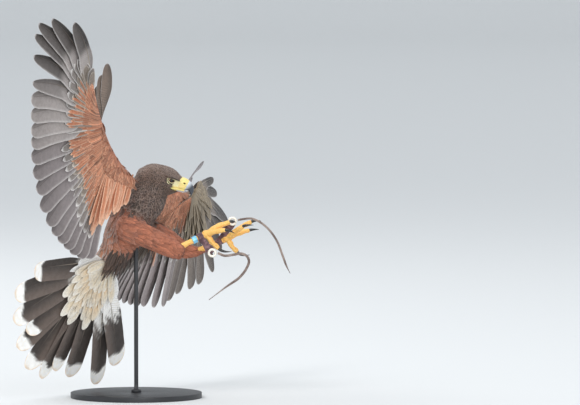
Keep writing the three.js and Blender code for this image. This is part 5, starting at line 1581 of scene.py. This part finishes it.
def scaled_limb(line, radius, top, rows, around=32):
    """A round limb whose top side has plates, each a little proud of the next, with its own colours."""
    share = np.linspace(0, 1, rows)
    centre = curve(line, share)
    run = np.concatenate([[0], np.cumsum(np.linalg.norm(np.diff(centre, axis=0), axis=1))])
    if len(radius) > 5:
        size = np.interp(share, np.linspace(0, 1, len(radius)), radius)
    else:
        size = value_along(radius, share)
    ends = np.sqrt(np.clip(np.minimum(run, run[-1] - run) / LIMB_DOME, 0.01, 1))
    tube = rings(centre, np.cross(unit(centre[-1] - centre[0]), top), size * ends, size * ends, around)
    out = unit(tube - centre[:, None])
    facing = out @ unit(top)
    upper = ease(0.1, 0.55, facing)
    plate = (run / SCUTE_PITCH % 1.0)[:, None]
    ridge = SCUTE_HEIGHT * upper * ends[:, None] * (plate ** 0.6 - 0.6) * ease(1.0, 0.9, plate)
    pads = PAD_HEIGHT * ease(0.2, 0.8, -facing) * np.sin(run / PAD_PITCH)[:, None] ** 2 * ends[:, None]
    groove = upper * ease(0.16, 0.0, np.minimum(plate, 1 - plate))
    colour = blend(LEG_YELLOW, LEG_ORANGE, (0.35 * ease(0.1, -0.6, facing) + 0.45 * groove)[..., None])
    return tube + out * (ridge + pads)[..., None], colour


for side, leg in LEGS.items():
    heel, sole = np.array(leg["heel"], float), np.array(leg["sole"], float)
    limb = sole - heel
    front = unit(np.cross(np.cross(limb, (0, 0, 1)), limb))
    shank, colour = scaled_limb([heel - limb * 0.12, heel + limb * 0.2, heel + limb * 0.6,
                                 heel + limb * 0.97], SHANK_RADII, front, 150)
    tube_piece(f"tarsus_skin_{side}", shank, leg_skin.material, [f"tarsus_{side}"],
               tint=colour)
    tubes = []
    for number, (end, claw, curl) in enumerate(leg["toes"]):
        end, curl = np.array(end, float), unit(curl)
        ahead = unit(end - sole)
        arch = -unit(curl - ahead * (curl @ ahead))
        length = np.linalg.norm(end - sole)
        line = [sole, *(blend(sole, end, share) + arch * length * rise
                        for share, rise in ((0.3, 0.02), (0.55, 0.04), (0.8, 0.03))), end + ahead * 2]
        tubes.append(scaled_limb(line, TOE_RADII, arch, 120, 28))
        t = np.linspace(0, 1, TALON_ROWS)
        forward = 1 + claw * (t - TALON_TURN * t * t) - TALON_ROOT * (1 - t)
        path = end + np.outer(forward, ahead) + np.outer(claw * TALON_CURL * t * t, curl)
        shape = rings(path, np.cross(ahead, arch), value_along(TALON_WIDE, t), value_along(TALON_DEEP, t),
                      TALON_SIDES, power=0.9)
        dark = np.repeat(ease(0.0, 0.35, t), TALON_SIDES)[:, None]
        tube_piece(f"talon_{side}_{number + 1}", shape, claw_horn.material,
                   [f"claw_{side}_{number + 1}"], tint=blend(CLAW_BASE, CLAW_TIP, dark))
    from_axis = np.linspace(0.02, math.pi - 0.02, 30)
    size = np.sin(from_axis) * SOLE_RADIUS
    ball = rings(sole - np.outer(np.cos(from_axis) * SOLE_RADIUS, unit(limb)), front, size, size, 36)
    tubes.append((ball, np.broadcast_to(blend(LEG_YELLOW, LEG_ORANGE, 0.25), ball.shape)))
    points, faces = merged([tube for tube, _ in tubes])
    make_piece(f"foot_skin_{side}", points, faces, leg_skin.material, [f"foot_{side}"],
               tint=np.concatenate([colour.reshape(-1, 3) for _, colour in tubes]))


# Leg leathers: a soft band round each tarsus with a tab that leads to a bright rolled eyelet, where the
# strap starts.
GEAR = {
    "R": {"band": (0.74, 0.9), "eyelet": (145.5, -58, 279)},
    "L": {"band": (0.68, 0.87), "eyelet": (183.5, -20, 337)},
}
EYELET_RADIUS = 6.4
EYELET_SECTION = 2.4
EYELET_AXIS = np.array((0, 1.0, 0))
BAND_THICKNESS = 1.9
BAND_CLEARANCE = 0.35
TAB_WIDTHS = ((0, 0.4, 0.78, 0.9, 1), (6.2, 5.4, 8.8, 8.6, 7.0))
TAB_HALF_THICKNESS = 1.25
TAB_SAG = (0, -0.8, 0)
TAB_ROWS, TAB_SIDES = 40, 20
nickel = Finish("eyelet_nickel", Metallic=0.4, Base_Color=ink("e9e3d6"))
nickel_wear = nickel.noise(420, 4)
nickel.wear(Roughness=nickel.step(nickel_wear, 0.3, 0.75, 0.3, 0.5),
            Normal=nickel.bump(nickel_wear, 0.08, 0.0003))
cuff_leather = Finish("cuff_leather", Roughness=0.55)
cuff_grain = cuff_leather.cells(1100.0)
cuff_marks = cuff_leather.noise(140, 4)
cuff_leather.wear(
    Base_Color=cuff_leather.mix(cuff_leather.step(cuff_marks, 0.35, 0.7), ink("4b3238"), ink("86666a")),
    Roughness=cuff_leather.step(cuff_marks, 0.3, 0.7, 0.7, 0.45),
    Normal=cuff_leather.bump(cuff_leather.step(cuff_grain, 0.0, 0.2), 0.4, 0.0003),
)


def circle(axis, around):
    """Directions square to an axis, all round it."""
    first = unit(np.cross(axis, (0.3, 0.2, 1)))
    angle = turns(around)
    return np.outer(np.cos(angle), first) + np.outer(np.sin(angle), np.cross(axis, first))


def sleeve(start, end, inner, outer, around=48, soft=0.5):
    """A band round a line: its wall is inner to outer, and its four edges are rounded by soft."""
    along = unit(end - start)
    length = np.linalg.norm(end - start)
    corner = np.linspace(0, math.pi / 2, 5)
    outline = []
    for x, r, first in ((length - soft, outer - soft, 0), (soft, outer - soft, 1), (soft, inner + soft, 2),
                        (length - soft, inner + soft, 3)):
        turn = corner + first * math.pi / 2
        outline.append(np.stack([x + soft * np.cos(turn), r + soft * np.sin(turn)], 1))
    outline = np.concatenate(outline)
    points = start + along * outline[None, :, :1] + circle(along, around)[:, None] * outline[None, :, 1:]
    return points, loop_faces(around, len(outline))


def hoop(centre, axis, radius, section, around=56, sides=20, flat=1.0):
    """A ring of round wire, pressed flat along its axis by flat."""
    turn = turns(sides)
    points = (centre + circle(axis, around)[:, None] * (radius + section * np.cos(turn))[None, :, None]
              + axis * (section * flat * np.sin(turn))[None, :, None])
    return points, loop_faces(around, sides)


for side, gear in GEAR.items():
    heel, sole = (np.array(LEGS[side][label], float) for label in ("heel", "sole"))
    low, high = (blend(heel, sole, share) for share in gear["band"])
    eyelet = np.array(gear["eyelet"], float)
    inner = TARSUS_RADIUS + BAND_CLEARANCE
    band, faces = sleeve(low, high, inner, inner + BAND_THICKNESS)
    middle = blend(low, high, 0.5)
    towards = eyelet - middle
    share = np.linspace(0, 1, TAB_ROWS)
    line = curve([middle + towards * 0.05, blend(middle, eyelet, 0.5) + TAB_SAG, eyelet], share)
    facing = unit(np.cross(towards, EYELET_AXIS))
    tab = rings(line, facing, np.interp(share, *TAB_WIDTHS), TAB_HALF_THICKNESS, TAB_SIDES, power=0.35)
    tab_faces = [group + band.size // 3 for group in tube_faces(TAB_ROWS, TAB_SIDES)]
    make_piece(f"cuff_leather_{side}", np.concatenate([band.reshape(-1, 3), tab.reshape(-1, 3)]),
               faces + tab_faces, cuff_leather.material, [f"cuff_{side}"])
    ring, faces = hoop(eyelet, EYELET_AXIS, EYELET_RADIUS, EYELET_SECTION, flat=0.85)
    make_piece(f"eyelet_metal_{side}", ring, faces, nickel.material, [f"eyelet_{side}"])

# Leg ring: a plain blue anodised band, loose on the tarsus.
ring_finish = Finish("ring_anodised", Metallic=0.75, Coat_Weight=0.2)
ring_scratches = ring_finish.noise(380, 5)
ring_finish.wear(
    Base_Color=ring_finish.mix(ring_finish.step(ring_scratches, 0.5, 0.8, 0.0, 0.5), ink("86c9ea"),
                               ink("d3ecf5")),
    Roughness=ring_finish.step(ring_scratches, 0.3, 0.8, 0.28, 0.5))
RING_SPAN = (0.58, 0.71)
RING_RADII = (TARSUS_RADIUS + 0.5, TARSUS_RADIUS + 2.0)
heel, sole = (np.array(LEGS["R"][label], float) for label in ("heel", "sole"))
points, faces = sleeve(*(blend(heel, sole, share) for share in RING_SPAN), *RING_RADII)
make_piece("leg_ring_band", points, faces, ring_finish.material, ["leg_ring_R"])

# Display stand: a steel disc and rod, powder coated satin black.
stand_finish = Finish("stand_powder", Coat_Weight=0.1)
powder = stand_finish.noise(2200, 2)
stand_finish.wear(
    Base_Color=stand_finish.mix(stand_finish.step(stand_finish.noise(14, 4), 0.35, 0.7), ink("222326"),
                                ink("2c2d30")),
    Roughness=stand_finish.step(powder, 0.3, 0.7, 0.42, 0.56),
    Normal=stand_finish.bump(powder, 0.12, 0.0002))
DISC_HEIGHT = 10.0
DISC_RADIUS = 125.0
ROD_RADIUS = 4.0
points, faces = sleeve(np.array((0, 0, 0.0)), np.array((0, 0, DISC_HEIGHT)), 0.6, DISC_RADIUS, 160, 0.45)
make_piece("stand_disc", points, faces, stand_finish.material, ["stand_base"])
# The rod: a low collar where it stands in the disc, its shank, and a rounded tip.
height = np.concatenate([[DISC_HEIGHT, 10.4, 14.0, 14.8, 15.2], np.linspace(16, 318.5, 30), [319.6, 320]])
radius = np.concatenate([[9, 9.4, 9.4, 9.0, 8.0, 4.2], np.full(29, ROD_RADIUS), [3.4, 2.6]])
rod = rings(np.stack([height * 0, height * 0, height], 1), np.array((1.0, 0, 0)), radius, radius, 40)
tube_piece("stand_upright", rod, stand_finish.material, ["stand_rod"])
